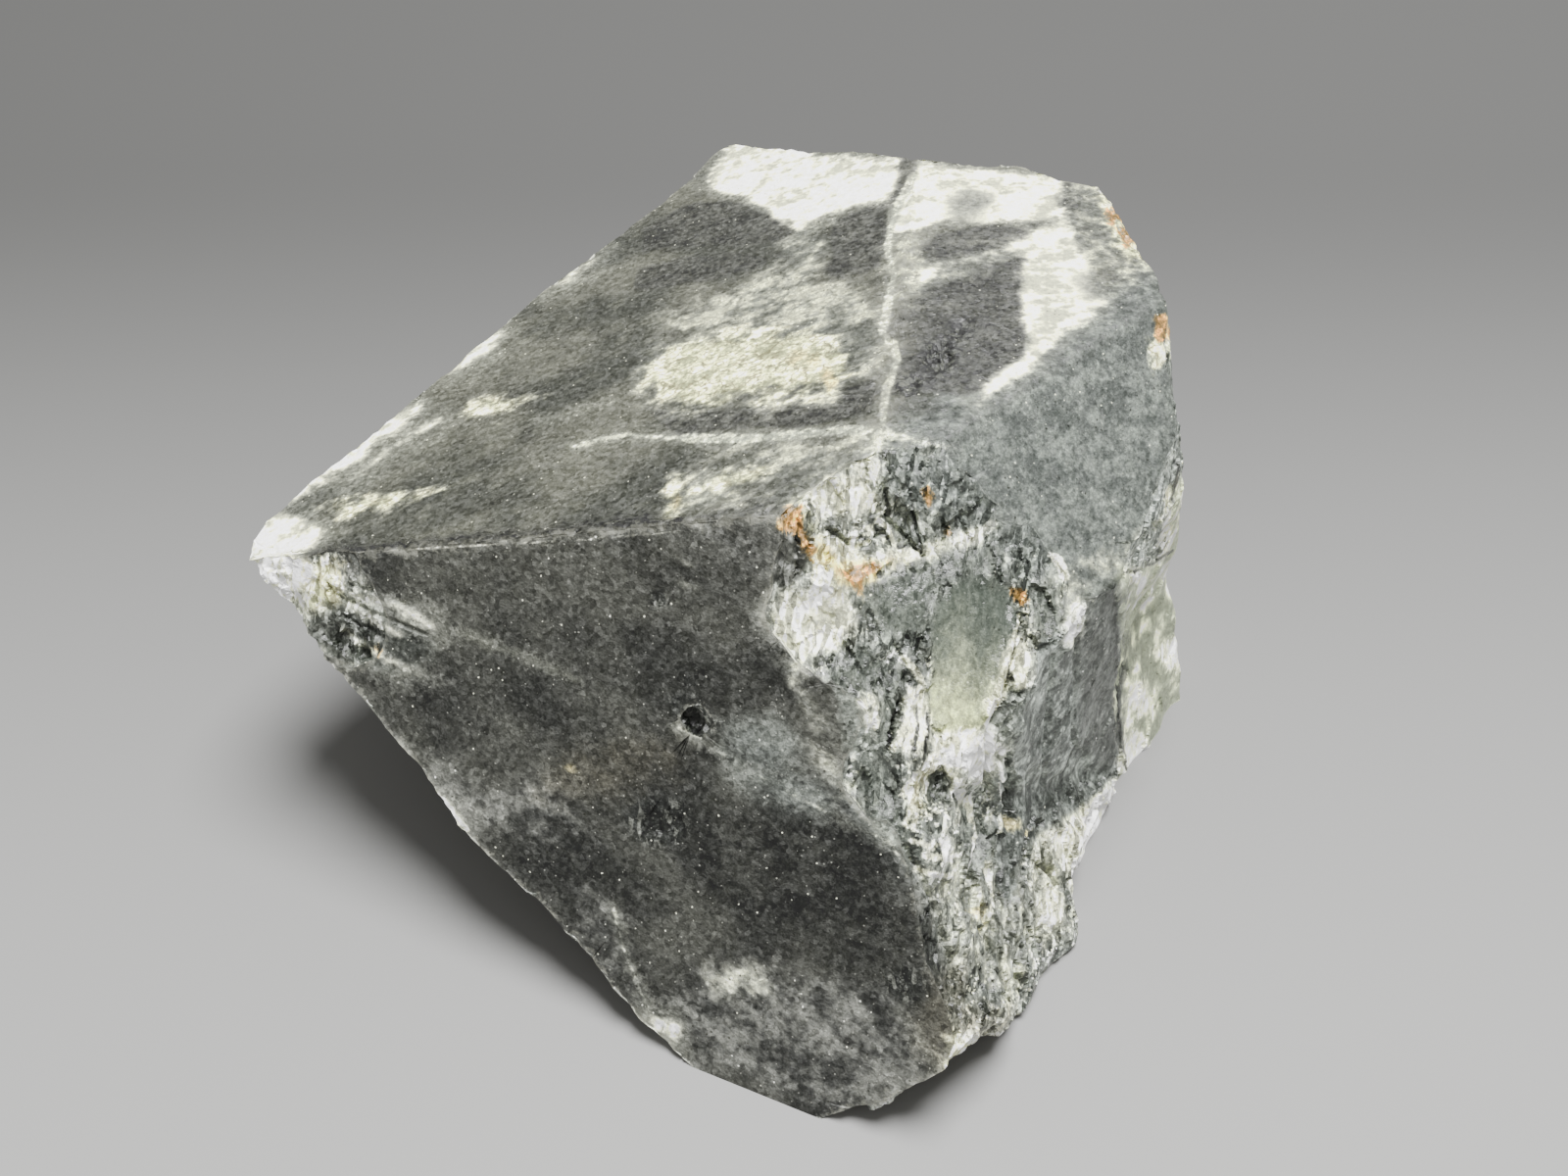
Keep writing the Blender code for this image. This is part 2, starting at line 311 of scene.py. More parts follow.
# How each kind of marking is painted: how far its edge wanders, crumbles and fades in millimetres, how
# much it covers, and its dimmest and brightest colours as they look on the screen.
PAINT = (
    ("blue", 0.7, 0.3, 1.4, 0.75, (126, 131, 127), (160, 165, 159)),
    ("dark", 0.25, 0.25, 0.2, 0.85, (86, 87, 83), (118, 119, 113)),
    ("shade", 0.8, 0.3, 1.2, 0.7, (46, 47, 45), (82, 83, 79)),
    ("mist", 1.0, 0.3, 1.3, 0.8, (66, 67, 65), (156, 157, 151)),
    ("haze", 1.1, 0.4, 1.3, 0.88, (142, 145, 136), (220, 221, 206)),
    ("brown", 0.9, 0.3, 1.6, 0.4, (108, 104, 90), (150, 145, 126)),
    ("cream", 0.9, 0.45, 0.6, 0.94, (196, 198, 170), (250, 250, 232)),
    ("green", 0.3, 0.25, 0.45, 0.95, (122, 129, 121), (206, 209, 184)),
    ("nodules_and_highlights", 0.3, 0.15, 0.45, 0.95, (160, 165, 147), (242, 243, 226)),
    ("clear", 0.3, 0.3, 0.15, 0.8, (80, 84, 80), (166, 170, 163)),
    ("facet", 0.3, 0.25, 0.3, 0.9, (84, 88, 84), (160, 165, 160)),
    ("grey", 0.5, 0.5, 0.5, 0.75, (104, 109, 103), (156, 161, 153)),
    ("shadow", 0.6, 0.3, 0.7, 0.85, (62, 65, 61), (106, 109, 104)),
    ("void", 0.25, 0.6, 0.15, 0.85, (70, 74, 69), (128, 132, 124)),
    ("pits", 0.3, 0.5, 0.5, 0.7, (46, 48, 46), (142, 144, 137)),
    ("white", 0.4, 0.22, 0.45, 0.97, (206, 207, 194), (250, 250, 238)),
    ("stain", 0.7, 0.3, 0.9, 0.7, (116, 118, 112), (172, 174, 165)),
    ("plate", 0.1, 0.12, 0.1, 0.9, (132, 136, 130), (190, 193, 184)),
    ("slit", 0.05, 0.12, 0.1, 0.85, (44, 46, 43), (84, 86, 82)),
    ("vein", 0.12, 0.12, 0.14, 0.85, (196, 199, 188), (238, 239, 226)),
    ("sliver", 0.05, 0.12, 0.1, 0.92, (204, 205, 190), (254, 254, 244)),
    ("yellow", 0.2, 0.25, 0.25, 0.7, (216, 206, 160), (240, 234, 196)),
    ("rust", 0.25, 0.3, 0.18, 0.9, (164, 138, 90), (226, 200, 140)),
)

# Markings that cover an area, by kind and name: how full each is (more is fuller), how deep it goes
# into the stone, and its outline as pixels across and down the photograph.
AREAS = {
    "white": {
        "back patch": (
            0.0, 9.0, "722,185 733,165 742,146 775,140 815,145 832,158 880,160 918,160 914,190 905,206 "
            "870,212 835,222 818,231 798,230 785,215 765,205 745,200 725,192"),
        "back right patch": (
            -0.1, 9.0, "930,190 938,160 960,165 1000,172 1040,178 1085,180 1083,205 1088,222 1060,230 "
            "1035,228 1010,228 990,228 965,224 945,232 915,240 908,230 915,208"),
        "right patch": (
            0.1, 5.0, "1045,245 1060,228 1090,225 1100,250 1108,275 1118,300 1127,310 1110,325 1085,335 "
            "1075,350 1062,368 1048,378 1030,388 1012,400 1000,412 1012,388 1030,375 1045,365 1048,345 "
            "1045,320 1042,300 1042,275 1050,262 1030,256"),
        "tail to the left": (
            -0.35, 2.0, "1040,248 1045,258 1010,266 975,275 950,288 932,292 920,290 945,272 985,260"),
        "streak on the left edge": (
            0.0, 5.0, "280,508 310,485 340,462 362,440 400,420 428,408 430,420 405,436 385,450 370,468 "
            "345,482 320,496 295,510"),
        "second streak on the left edge": (-0.1, 4.0, "458,380 480,356 505,338 516,338 500,358 475,374"),
        "third streak on the left edge": (-0.6, 4.0, "550,300 570,280 600,262 625,255 605,278 580,293"),
        "left corner": (
            0.0, 5.0, "256,535 282,516 305,528 330,540 322,556 300,566 318,580 312,602 296,620 290,642 "
            "275,640 255,605 255,570"),
        "quartz beside the ridge": (
            -0.1, 3.0, "795,612 812,600 840,592 860,600 872,622 876,645 850,662 838,660 826,668 808,668 "
            "790,650 788,630"),
        "quartz above the ridge end": (
            -0.9, 3.0, "800,498 830,480 868,468 892,480 905,500 905,520 888,532 862,542 845,540 836,552 "
            "822,540 815,522"),
        "white below the dark blocks": (
            0.2, 3.0, "832,548 850,548 872,560 888,572 905,566 930,560 945,566 905,580 880,600 862,604 "
            "846,590 834,570"),
        "white strip": (0.1, 2.0, "940,566 948,554 975,548 1003,540 1012,534 1000,552 970,560 945,572"),
        "splinters": (
            -0.1, 3.0, "920,712 930,702 942,704 948,725 953,752 950,768 936,770 922,762 917,745 924,730"),
        "splinters to the left": (
            -1.2, 3.0, "862,690 885,690 905,700 912,730 905,790 890,790 872,752 858,728"),
        "white below the green patch": (
            0.15, 3.0, "950,752 975,748 1012,746 1016,765 1004,795 990,788 968,776 955,770"),
        "flake on the step": (
            0.1, 2.0, "1026,660 1036,642 1046,655 1050,690 1040,702 1030,694 1022,706 1010,724 1006,712 "
            "1018,690"),
        "crystal under the shoulder": (0.0, 2.0, "1086,655 1088,635 1100,612 1106,622 1100,645 1092,660"),
        "foot": (
            0.0, 4.0, "1070,850 1095,838 1112,815 1138,795 1150,800 1132,842 1112,872 1096,898 1086,884 "
            "1074,868"),
        "low on the foot": (-0.1, 3.0, "1062,918 1072,908 1082,930 1086,945 1066,954 1060,940"),
        "hollow, upper": (-0.2, 6.0, "1172,665 1190,648 1215,640 1225,670 1212,690 1190,685"),
        "hollow, middle": (0.0, 6.0, "1150,700 1165,692 1172,720 1160,735 1150,722"),
        "hollow, low": (0.2, 6.0, "1144,765 1160,745 1172,758 1176,775 1160,800 1146,790"),
        "low edge of the front": (-0.1, 2.0, "652,1030 670,1036 698,1040 700,1052 688,1068 668,1052"),
        "low left edge of the front": (
            -0.3, 1.5, "395,765 410,770 440,800 468,830 476,846 450,832 425,806"),
    },
    "cream": {
        "cream patch": (
            -0.25, 2.0, "660,378 680,355 710,345 745,338 790,333 830,338 856,350 873,368 868,388 846,400 "
            "815,406 770,410 740,416 700,419 672,410 660,394"),
        "cream under the level vein": (-0.2, 2.0, "728,500 738,482 765,472 782,478 776,494 755,505"),
        "cream at its left end": (-0.1, 2.0, "676,528 679,495 688,484 697,492 694,515 688,532"),
        "pale streak on the left": (-0.5, 2.0, "462,425 480,405 530,398 562,400 545,415 500,428"),
        "pale streak near the corner": (
            -0.5, 2.0, "322,522 350,503 400,497 452,498 430,516 380,527 345,532"),
        "tan at the left corner": (0.0, 3.0, "312,572 345,572 352,600 340,622 318,622 306,600"),
        "rim of rust": (
            -0.1, 2.0, "812,512 828,522 836,548 850,570 890,570 912,572 905,592 880,612 850,612 834,590 "
            "824,555 808,530"),
        "cream fibres": (-0.35, 2.5, "936,778 952,772 952,800 942,830 934,850 922,856 918,838 924,808"),
        "right back corner": (-0.1, 4.0, "1120,190 1135,185 1150,215 1165,265 1150,270 1138,250 1126,225"),
        "right edge": (-0.2, 3.0, "1170,345 1188,340 1192,362 1180,372"),
        "pale strip on the right": (0.1, 4.0, "1192,500 1215,480 1218,560 1205,590 1188,575 1186,535"),
        "heel edge": (-0.1, 2.5, "958,1060 975,1045 1000,1062 1030,1062 1000,1084 965,1097"),
    },
    "haze": {
        "around the cream": (
            0.1, 2.0, "652,384 668,352 705,336 745,326 800,318 850,330 880,352 886,384 862,398 815,408 "
            "740,418 690,418 664,404"),
        "pale zone above the cream": (
            -0.2, 2.0, "665,335 690,312 740,300 790,262 812,235 850,225 842,260 838,285 880,290 895,320 "
            "890,350 880,380 855,395 850,345 790,335 700,345"),
        "pale zone beside the right patch": (
            0.2, 2.0, "912,240 930,236 936,262 960,270 1000,264 1040,256 1010,270 960,288 920,302 908,280"),
        "pale zone under the level vein": (
            -0.1, 2.0, "690,500 730,468 800,455 880,448 894,462 892,490 850,505 790,512 730,520 700,528"),
        "pale zone right of the cream": (
            -0.1, 2.0, "850,310 895,325 905,350 900,378 880,392 856,402 862,370 850,340"),
        "upper smear on the front": (-0.5, 1.5, "690,565 702,560 712,590 706,602 696,590"),
        "pale edge by the broken side": (
            -0.7, 2.0, "790,600 812,600 830,690 870,800 925,860 905,870 850,812 815,725 790,660"),
        "heel": (
            -0.6, 2.5, "1000,850 1040,850 1062,900 1062,950 1050,1000 1045,1050 1020,1050 1000,1000 "
            "975,950 955,900 950,860"),
        "foot": (-0.1, 3.0, "1080,790 1150,760 1160,800 1110,880 1085,945 1062,960 1050,900 1070,840"),
        "left chip": (-1.3, 3.0, "262,590 300,560 350,590 440,640 450,680 400,690 350,690 310,660 280,640"),
        "bright patch low on the front": (0.0, 2.0, "728,998 745,990 770,996 782,1010 768,1022 745,1014"),
        "beside the right back corner": (
            1.1, 4.0, "1100,186 1135,183 1152,215 1166,268 1150,280 1132,276 1114,250 1104,225"),
        "shoulder rim": (
            -1.3, 1.5, "1060,590 1100,560 1160,540 1206,495 1206,530 1150,590 1090,625 1050,640"),
    },
    "dark": {
        "wedge right of the vein": (
            0.1, 2.0, "901,336 906,320 920,305 950,294 990,280 1020,264 1046,262 1051,272 1042,285 "
            "1042,310 1047,335 1045,362 1030,376 1008,392 985,402 960,398 925,405 910,400 914,385 921,366 "
            "912,346"),
        "left of the vein": (
            0.0, 2.0, "846,240 850,225 880,212 905,207 906,235 904,255 898,270 880,280 855,285 838,278 "
            "850,260"),
        "behind the back patch": (
            0.0, 2.0, "655,235 700,208 745,203 790,222 814,236 800,246 760,250 700,252 655,258"),
        "left of the pale zone": (
            -0.1, 2.0, "650,275 700,262 755,257 790,262 780,274 740,283 690,292 645,300"),
        "band under the cream": (
            0.1, 2.0, "660,414 690,426 720,421 760,415 800,418 830,405 860,397 890,384 898,400 886,418 "
            "850,430 810,436 770,433 730,438 700,445 680,436"),
        "between the white patches": (
            0.35, 2.0, "940,258 960,243 985,236 1020,232 1046,240 1020,250 985,257 950,264"),
        "gap between the back patches": (0.1, 9.0, "916,190 920,158 935,158 930,192 914,210 908,206"),
        "gap beside the corner": (0.1, 9.0, "1086,188 1098,178 1108,200 1104,220 1094,222 1084,210"),
        "above the ridge": (
            -0.1, 1.5, "690,530 740,512 790,503 800,520 820,545 828,565 820,590 800,602 770,590 720,560 "
            "670,548"),
        "dark spot on the top": (0.3, 1.0, "748,303 755,298 764,303 758,311 749,309"),
    },
    "rust": {
        "beside the ridge": (
            0.1, 1.0, "795,532 803,518 815,519 817,530 826,545 832,560 829,573 820,562 814,546 800,541"),
        "below the dark blocks": (
            0.0, 1.0, "853,583 870,578 885,575 902,572 903,580 886,588 880,604 872,603 866,592"),
        "on the top of the broken side": (0.0, 1.0, "938,500 946,497 953,508 947,517"),
        "by the white strip": (0.0, 1.0, "962,540 970,536 975,542 966,549"),
        "by the step": (0.05, 1.0, "1030,602 1040,600 1052,612 1044,620 1036,612"),
        "right back corner": (0.0, 2.0, "1141,216 1149,220 1156,248 1149,253 1142,236"),
        "beside the right back corner": (0.0, 2.0, "1126,216 1134,212 1139,225 1132,232"),
        "right edge": (0.05, 2.0, "1176,322 1188,320 1192,345 1180,348"),
        "right side strip": (-0.2, 2.0, "1203,430 1212,430 1212,480 1204,476"),
        "left corner": (-0.25, 1.5, "378,660 386,652 392,664 386,676"),
    },
    "yellow": {
        "orange dot": (0.2, 1.0, "838,382 846,378 853,390 846,396"),
        "around the rust": (0.0, 1.0, "836,548 850,570 880,571 905,571 898,592 872,602 850,592 834,568"),
        "at the end of the cream": (-0.2, 1.0, "682,512 690,496 698,505 694,522 684,524"),
        "in the cream patch": (-0.8, 1.0, "790,350 840,345 850,375 815,390 790,375"),
        "dot on the front": (-0.15, 1.0, "572,780 584,774 592,786 582,792"),
        "speck by the grooves": (0.1, 1.0, "1026,838 1036,836 1038,844 1028,846"),
        "second speck by the grooves": (0.0, 1.0, "1040,846 1050,848 1046,854"),
        "speck on the heel": (0.0, 1.0, "994,930 1000,925 1008,945 1004,952"),
    },
    "green": {
        "green patch": (
            0.1, 4.0, "948,645 955,615 975,592 1000,585 1030,600 1040,625 1034,660 1022,700 1008,735 "
            "1000,748 975,748 955,745 948,720 952,690"),
        "upper green": (
            -0.9, 3.0, "880,600 920,575 985,575 1000,590 960,610 950,650 920,660 890,650 880,630"),
    },
    "blue": {
        "shoulder": (
            0.3, 2.5, "893,492 940,460 985,430 1060,385 1130,330 1175,285 1190,320 1206,400 1212,500 "
            "1140,600 1060,598 1000,545 940,525"),
        "smear on the front": (1.2, 1.5, "752,758 766,746 786,750 797,765 790,783 775,780 760,772"),
        "second smear on the front": (1.1, 1.5, "772,790 800,797 832,812 836,826 810,822 785,806"),
        "low smear by the broken side": (
            0.0, 2.0, "850,790 870,800 925,860 940,900 925,910 890,860 860,830"),
    },
    "clear": {
        "dark block": (0.1, 2.0, "862,547 872,541 892,535 894,546 883,557 875,563 869,555"),
        "upper dark blocks": (-0.5, 2.0, "903,502 915,502 930,520 942,550 940,564 924,556 908,540 905,520"),
        "right of the white strip": (-0.6, 2.0, "955,500 1000,505 1020,525 985,532 965,528 950,515"),
        "dark left of the patch": (
            -0.1, 2.0, "872,672 874,645 882,620 896,622 900,640 925,640 952,650 945,665 920,662 900,672 "
            "885,675"),
        "dark by the slivers": (0.1, 2.0, "982,812 985,800 1002,802 1002,820 990,825"),
        "low on the heel": (-0.2, 2.0, "985,1000 1010,1000 1030,1010 1020,1030 1000,1020"),
    },
    "facet": {
        "dark facet": (
            0.2, 4.0, "1062,655 1085,648 1105,630 1120,612 1138,598 1141,660 1142,760 1138,800 1112,815 "
            "1085,830 1060,850 1040,860 1032,800 1040,740 1052,700"),
        "grooves": (0.0, 3.0, "1012,790 1030,780 1044,860 1030,920 1018,900 1010,850"),
    },
    # Pale crystal knobs in the hollow, with painted highlights: each knob is brightest at its middle.
    "nodules_and_highlights": {
        "hollow": (
            0.3, 12.0, "1139,600 1150,582 1180,575 1205,560 1225,590 1232,640 1230,700 1195,760 1160,805 "
            "1146,800 1139,740"),
        "pale strip": (0.0, 4.0, "1196,495 1216,480 1224,560 1215,600 1190,590"),
    },
    "shade": {
        # Painted shade: the front is darker under its edge by the broken side.
        "shade on the front under the edge": (
            0.0, 1.5, "700,826 780,822 860,835 915,868 950,925 968,1000 958,1030 905,990 850,962 790,950 "
            "730,925 700,880"),
        "dark low on the left": (0.0, 1.5, "476,850 560,846 640,870 690,930 650,930 600,898 540,892"),
        "at the left end of the ridge": (
            0.0, 1.5, "325,568 350,560 390,562 420,572 400,588 355,592 335,580"),
        "under the middle of the ridge": (-0.2, 1.5, "640,575 700,560 760,570 780,600 740,620 660,610"),
    },
    "grey": {
        "above the green patch": (
            0.2, 2.0, "866,604 900,592 940,568 1000,560 1030,588 1000,585 960,600 945,640 905,642 880,622"),
        "left of the fibres": (
            0.15, 2.0, "856,672 880,660 912,690 916,740 905,790 922,840 938,868 902,850 872,780 852,700"),
        "top of the heel": (-0.1, 2.0, "975,822 1000,822 1015,860 1010,905 985,895 970,850"),
        "below the upper blocks": (0.0, 2.0, "922,530 940,535 962,552 950,562 930,558"),
        "beside the patch": (-0.1, 2.0, "1028,690 1040,700 1052,705 1048,740 1030,760 1010,752 1016,725"),
        "right of the step": (-0.3, 2.0, "1044,602 1085,592 1086,640 1062,655 1048,640"),
    },
    "shadow": {
        "left chip": (-0.5, 2.0, "300,628 345,612 380,620 440,645 452,680 400,690 350,682 310,655"),
        "right of the facet": (
            0.4, 3.0, "1108,650 1122,618 1138,602 1141,700 1142,760 1130,780 1112,760 1106,700"),
    },
    "mist": {
        "pale bottom of the front": (
            -0.1, 2.0, "690,1010 740,985 800,990 860,1000 905,1010 940,1060 950,1100 880,1130 840,1142 "
            "790,1110 740,1085 700,1060"),
        "pale bevel": (-0.3, 2.0, "600,900 625,905 632,950 650,1000 662,1030 640,1022 612,985 590,950"),
        "low left edge": (-0.5, 2.0, "380,745 430,770 500,800 560,800 560,840 480,850 420,800"),
        "left of the pits": (-0.2, 2.0, "520,800 560,790 600,815 590,850 540,860 515,835"),
    },
    "void": {
        "void": (0.2, 2.0, "918,685 928,680 938,688 934,700 922,702"),
        "void below the patch": (0.2, 2.0, "947,800 952,785 960,778 970,792 982,810 974,818 955,815"),
        "left dark plate": (-0.1, 2.0, "906,503 914,502 926,512 932,534 926,540 910,522"),
        "hole in the left chip": (0.2, 2.0, "360,664 368,656 380,662 378,672 366,674"),
    },
    "pits": {
        "pits in the wedge": (0.2, 2.0, "938,372 946,352 962,345 976,356 972,378 950,382"),
        "left pits": (0.1, 2.0, "916,394 924,380 938,382 940,396 926,404"),
        "upper pits": (0.1, 2.0, "968,332 984,324 994,334 982,346 970,344"),
        "pit in the front": (0.2, 2.0, "684,722 696,712 712,716 722,730 732,746 716,752 702,740"),
        "pits in the front": (0.0, 2.0, "636,832 664,812 700,818 706,846 690,862 650,858"),
        "pits above them": (-0.2, 2.0, "690,690 706,686 716,704 704,712"),
        "small pits under the ridge": (-0.1, 2.0, "662,604 676,602 680,616 668,622"),
        "pits low on the front": (-0.1, 2.0, "900,990 930,985 950,1010 935,1030 905,1015"),
    },
    "plate": {
        "grey plate": (0.0, 2.0, "896,529 907,526 920,545 936,560 913,556"),
        "clear plate": (0.0, 2.0, "934,517 958,522 961,535 943,552 935,536"),
    },
    "stain": {
        "spot in the back right patch": (0.2, 3.0, "970,206 988,197 1010,203 1002,216 980,221"),
        "grey corner of the right patch": (-0.2, 3.0, "1098,285 1116,282 1126,300 1112,306"),
    },
    "brown": {
        "heel": (
            0.1, 3.0, "930,1045 955,1010 980,990 990,1025 1000,1020 1030,1040 1040,1050 1025,1070 "
            "1000,1085 965,1098 940,1070"),
        "warm front": (-0.9, 2.0, "560,760 640,740 720,760 700,800 600,830 540,820"),
    },
}

# Markings that run along a line: width, how full, how deep, and the line in pixels.
LINES = {
    "white": {
        "ridges of the left chip": (0.3, 0.0, 1.5, "345,600 372,612 405,618 440,640"),
        "ridge below": (0.25, 0.0, 1.5, "350,615 380,632 410,650"),
        "ridge lowest": (0.35, 0.0, 1.5, "350,642 365,655 395,672 430,690"),
        "thin streak on the left": (0.35, -0.1, 2.0, "352,498 372,480 395,460 420,444 450,430"),
        "crystal by the void": (0.4, 0.2, 1.0, "960,778 975,795 980,815"),
        "edge of the front": (0.25, -0.2, 1.5, "938,890 955,920 968,955 978,990"),
    },
    "sliver": {
        "curled fibre": (0.3, 0.15, 2.0, "1074,566 1082,574 1088,589"),
        "flake above the void": (0.3, 0.12, 1.5, "922,672 932,682 941,696"),
        "left fibre": (0.3, 0.12, 1.5, "927,703 932,717 924,736 912,764"),
        "middle fibre": (0.25, 0.12, 1.5, "938,703 941,724 943,748"),
        "right fibre": (0.2, 0.12, 1.5, "931,720 929,745 922,764"),
        "long fibre": (0.35, 0.12, 1.5, "957,770 944,789 933,811 925,842"),
        "second long fibre": (0.25, 0.12, 1.5, "949,772 934,790 921,810"),
        "third long fibre": (0.2, 0.12, 1.5, "946,800 938,820 932,846"),
        "thread over the void": (0.16, 0.1, 1.0, "956,757 966,780 978,802 984,812"),
        "thread beside it": (0.16, 0.1, 1.0, "961,777 978,781 992,784 1000,792"),
        "edge of the patch": (0.24, 0.12, 1.5, "1033,645 1028,680 1025,708 1013,724 1008,742"),
        "second edge of the patch": (0.2, 0.12, 1.5, "1040,628 1036,650 1031,676"),
        "flake on the step": (0.3, 0.12, 1.5, "1040,655 1038,672 1044,690 1042,700"),
        "upper streak of the dark block": (0.13, 0.1, 1.0, "864,546 878,541 892,537"),
        "second streak of the block": (0.13, 0.1, 1.0, "867,551 880,546 893,542"),
        "third streak of the block": (0.13, 0.1, 1.0, "870,559 882,553 890,549"),
        "edge between the plates": (0.16, 0.1, 1.0, "897,530 908,543 914,556"),
        "heel fibre": (0.2, 0.12, 1.5, "990,816 996,858 988,890"),
        "second heel fibre": (0.25, 0.08, 1.5, "1019,784 1020,816 1016,850"),
        "third heel fibre": (0.2, 0.12, 1.5, "1006,880 1010,920 1002,950"),
        "fibre across the heel": (0.2, 0.12, 1.5, "930,857 948,863 962,860"),
        "second across the heel": (0.2, 0.12, 1.5, "944,872 962,876 978,872"),
        "third across the heel": (0.2, 0.12, 1.5, "936,888 956,892 972,894"),
        "speckled edge of the ridge": (0.3, -0.12, 1.5, "362,564 430,560 500,556 570,552 650,546 720,540"),
    },
    "slit": {
        "pit in the front": (1.0, 0.0, 1.5, "692,722 704,733 716,742"),
        "top of the pit": (0.7, 0.0, 1.5, "700,717 711,727"),
        "left slit": (0.4, 0.0, 1.5, "915,716 911,740 907,762"),
        "between the fibres": (0.16, 0.05, 1.5, "931,708 928,735 919,762"),
        "second between the fibres": (0.16, 0.05, 1.5, "939,712 937,740 931,766"),
        "third between the fibres": (0.16, 0.05, 1.5, "946,728 947,748 943,768"),
        "fourth between the fibres": (0.16, 0.0, 1.5, "950,784 939,806 930,834"),
        "edge of the dark plate": (0.25, 0.0, 1.5, "931,505 933,533 941,567"),
        "left of the dark plate": (0.2, 0.0, 1.5, "904,503 909,525 899,540"),
        "below the grey plate": (0.2, 0.0, 1.5, "899,540 913,556 939,560"),
        "beside the patch": (0.22, 0.0, 1.5, "1036,640 1031,676 1033,694"),
        "right edge of the facet": (0.25, 0.0, 2.0, "1137,600 1139,650 1139,717 1144,760 1150,786"),
        "groove of the heel": (0.22, 0.0, 1.5, "1027,770 1027,830 1026,900"),
        "crack at the right edge": (0.2, 0.0, 2.0, "1199,470 1202,490 1196,512"),
        "top of the hollow": (0.2, 0.0, 2.0, "1150,584 1176,575 1196,562"),
    },
    "vein": {
        "faint line by the left streak": (0.2, -0.12, 1.5, "545,431 570,424 597,417 626,409"),
        "faint line on the front": (0.12, -0.16, 1.5, "470,645 520,664 560,680 590,694"),
        "line by the low smear": (0.2, -0.05, 1.5, "690,740 740,770 800,806 850,832 905,858 926,885"),
        "line along the bevel": (0.2, -0.05, 1.5, "625,925 634,960 648,1000 662,1030"),
        "line across the low front": (0.18, -0.1, 1.5, "915,1030 935,1058 962,1092"),
        "pale edge on the left": (0.35, 0.0, 1.5, "330,690 365,730 400,765 440,805 476,846"),
        "edge of the green patch": (0.3, 0.0, 1.5, "1036,640 1030,680 1024,712 1010,735 1004,748"),
        "upright vein": (
            0.5, 0.05, 2.5, "932,178 918,205 908,232 906,255 912,280 906,300 905,322 899,338 911,350 "
            "916,368 908,386 903,402 901,430 894,455 890,488"),
        "left end of the level vein": (0.3, -0.02, 2.5, "583,457 610,449 640,444 680,446 715,449"),
        "level vein": (0.5, 0.1, 2.5, "700,447 755,448 800,444 850,440 890,437 920,446"),
        "right end of the level vein": (0.3, -0.02, 2.5, "910,443 940,452 975,458"),
    },
}

# Grooves in the broken side: half the width, depth, and the line in pixels. Ridges have a depth below
# nothing.
GROOVES = {
    "crack behind the step": (0.35, 0.6, "1046,628 1038,660 1030,690 1022,722 1008,752 1004,800"),
    "edge of the step": (0.5, -0.5, "1034,622 1030,660 1020,695 1006,730"),
    "slit": (0.35, 0.6, "918,715 913,740 906,768"),
    "left groove of the heel": (0.35, 0.7, "1008,790 1004,850 990,900"),
    "middle groove of the heel": (0.4, 0.9, "1030,770 1030,840 1022,900 1026,960"),
    "sliver": (0.5, -0.5, "1018,780 1016,840 1008,880"),
    "second sliver": (0.5, -0.4, "1040,790 1042,860 1036,920 1040,990"),
    "third groove": (0.35, 0.6, "1000,925 1010,970 1015,1010"),
    "foot groove": (0.5, 0.9, "1062,840 1068,880 1080,905"),
    "facet streak": (0.35, 0.4, "1100,640 1098,700 1096,760"),
    "second facet streak": (0.35, 0.35, "1075,670 1070,730 1064,800"),
    "crystal edge under the shoulder": (0.5, -0.7, "1104,612 1092,640 1086,660"),
    "block edge": (0.3, 0.5, "903,500 906,530 940,566"),
    "second block edge": (0.3, 0.4, "930,500 934,540 942,566"),
    "third block edge": (0.3, 0.4, "845,540 872,560 900,545"),
    "chip ridge": (0.3, 0.22, "340,606 370,620 430,646"),
    "second chip ridge": (0.3, 0.22, "350,628 375,642 410,662"),
    "third chip ridge": (0.3, 0.2, "356,596 390,606 420,620"),
    "edge of the front": (0.4, 0.5, "925,865 945,905 962,950 975,1000"),
}

# Small hollows in the faces: how deep, and the outline in pixels.
HOLLOWS = {
    "upper dark blocks": (0.25, "908,508 916,506 928,524 937,552 924,552 912,540"),
    "dark left of the patch": (0.3, "872,672 874,645 882,622 896,625 898,645 890,672"),
    "void": (0.45, "918,685 928,680 938,688 934,700 922,702"),
    "void below the patch": (0.5, "950,800 952,785 960,778 970,792 982,812 972,818 955,815"),
    "behind the step": (0.5, "1028,682 1036,700 1050,705 1050,730 1030,745 1010,748 1014,730 1026,715"),
    "hole in the left chip": (0.6, "360,664 368,656 380,662 378,672 366,674"),
    "pits in the front": (0.35, "645,835 665,828 700,832 705,848 680,856 650,850"),
    "pit in the front": (0.35, "686,722 696,714 712,718 722,732 728,744 714,748 702,738"),
    "small pit in the front": (0.5, "662,606 672,602 676,612 668,618"),
    "pits in the top": (0.45, "940,368 950,350 965,345 975,360 970,378 950,380"),
    "left pits in the top": (0.35, "918,392 925,380 938,382 940,396 926,402"),
    "upper pits in the top": (0.3, "970,330 985,325 992,335 980,345 970,342"),
    "hole in the heel": (0.8, "1010,1030 1020,1028 1024,1040 1014,1044"),
}

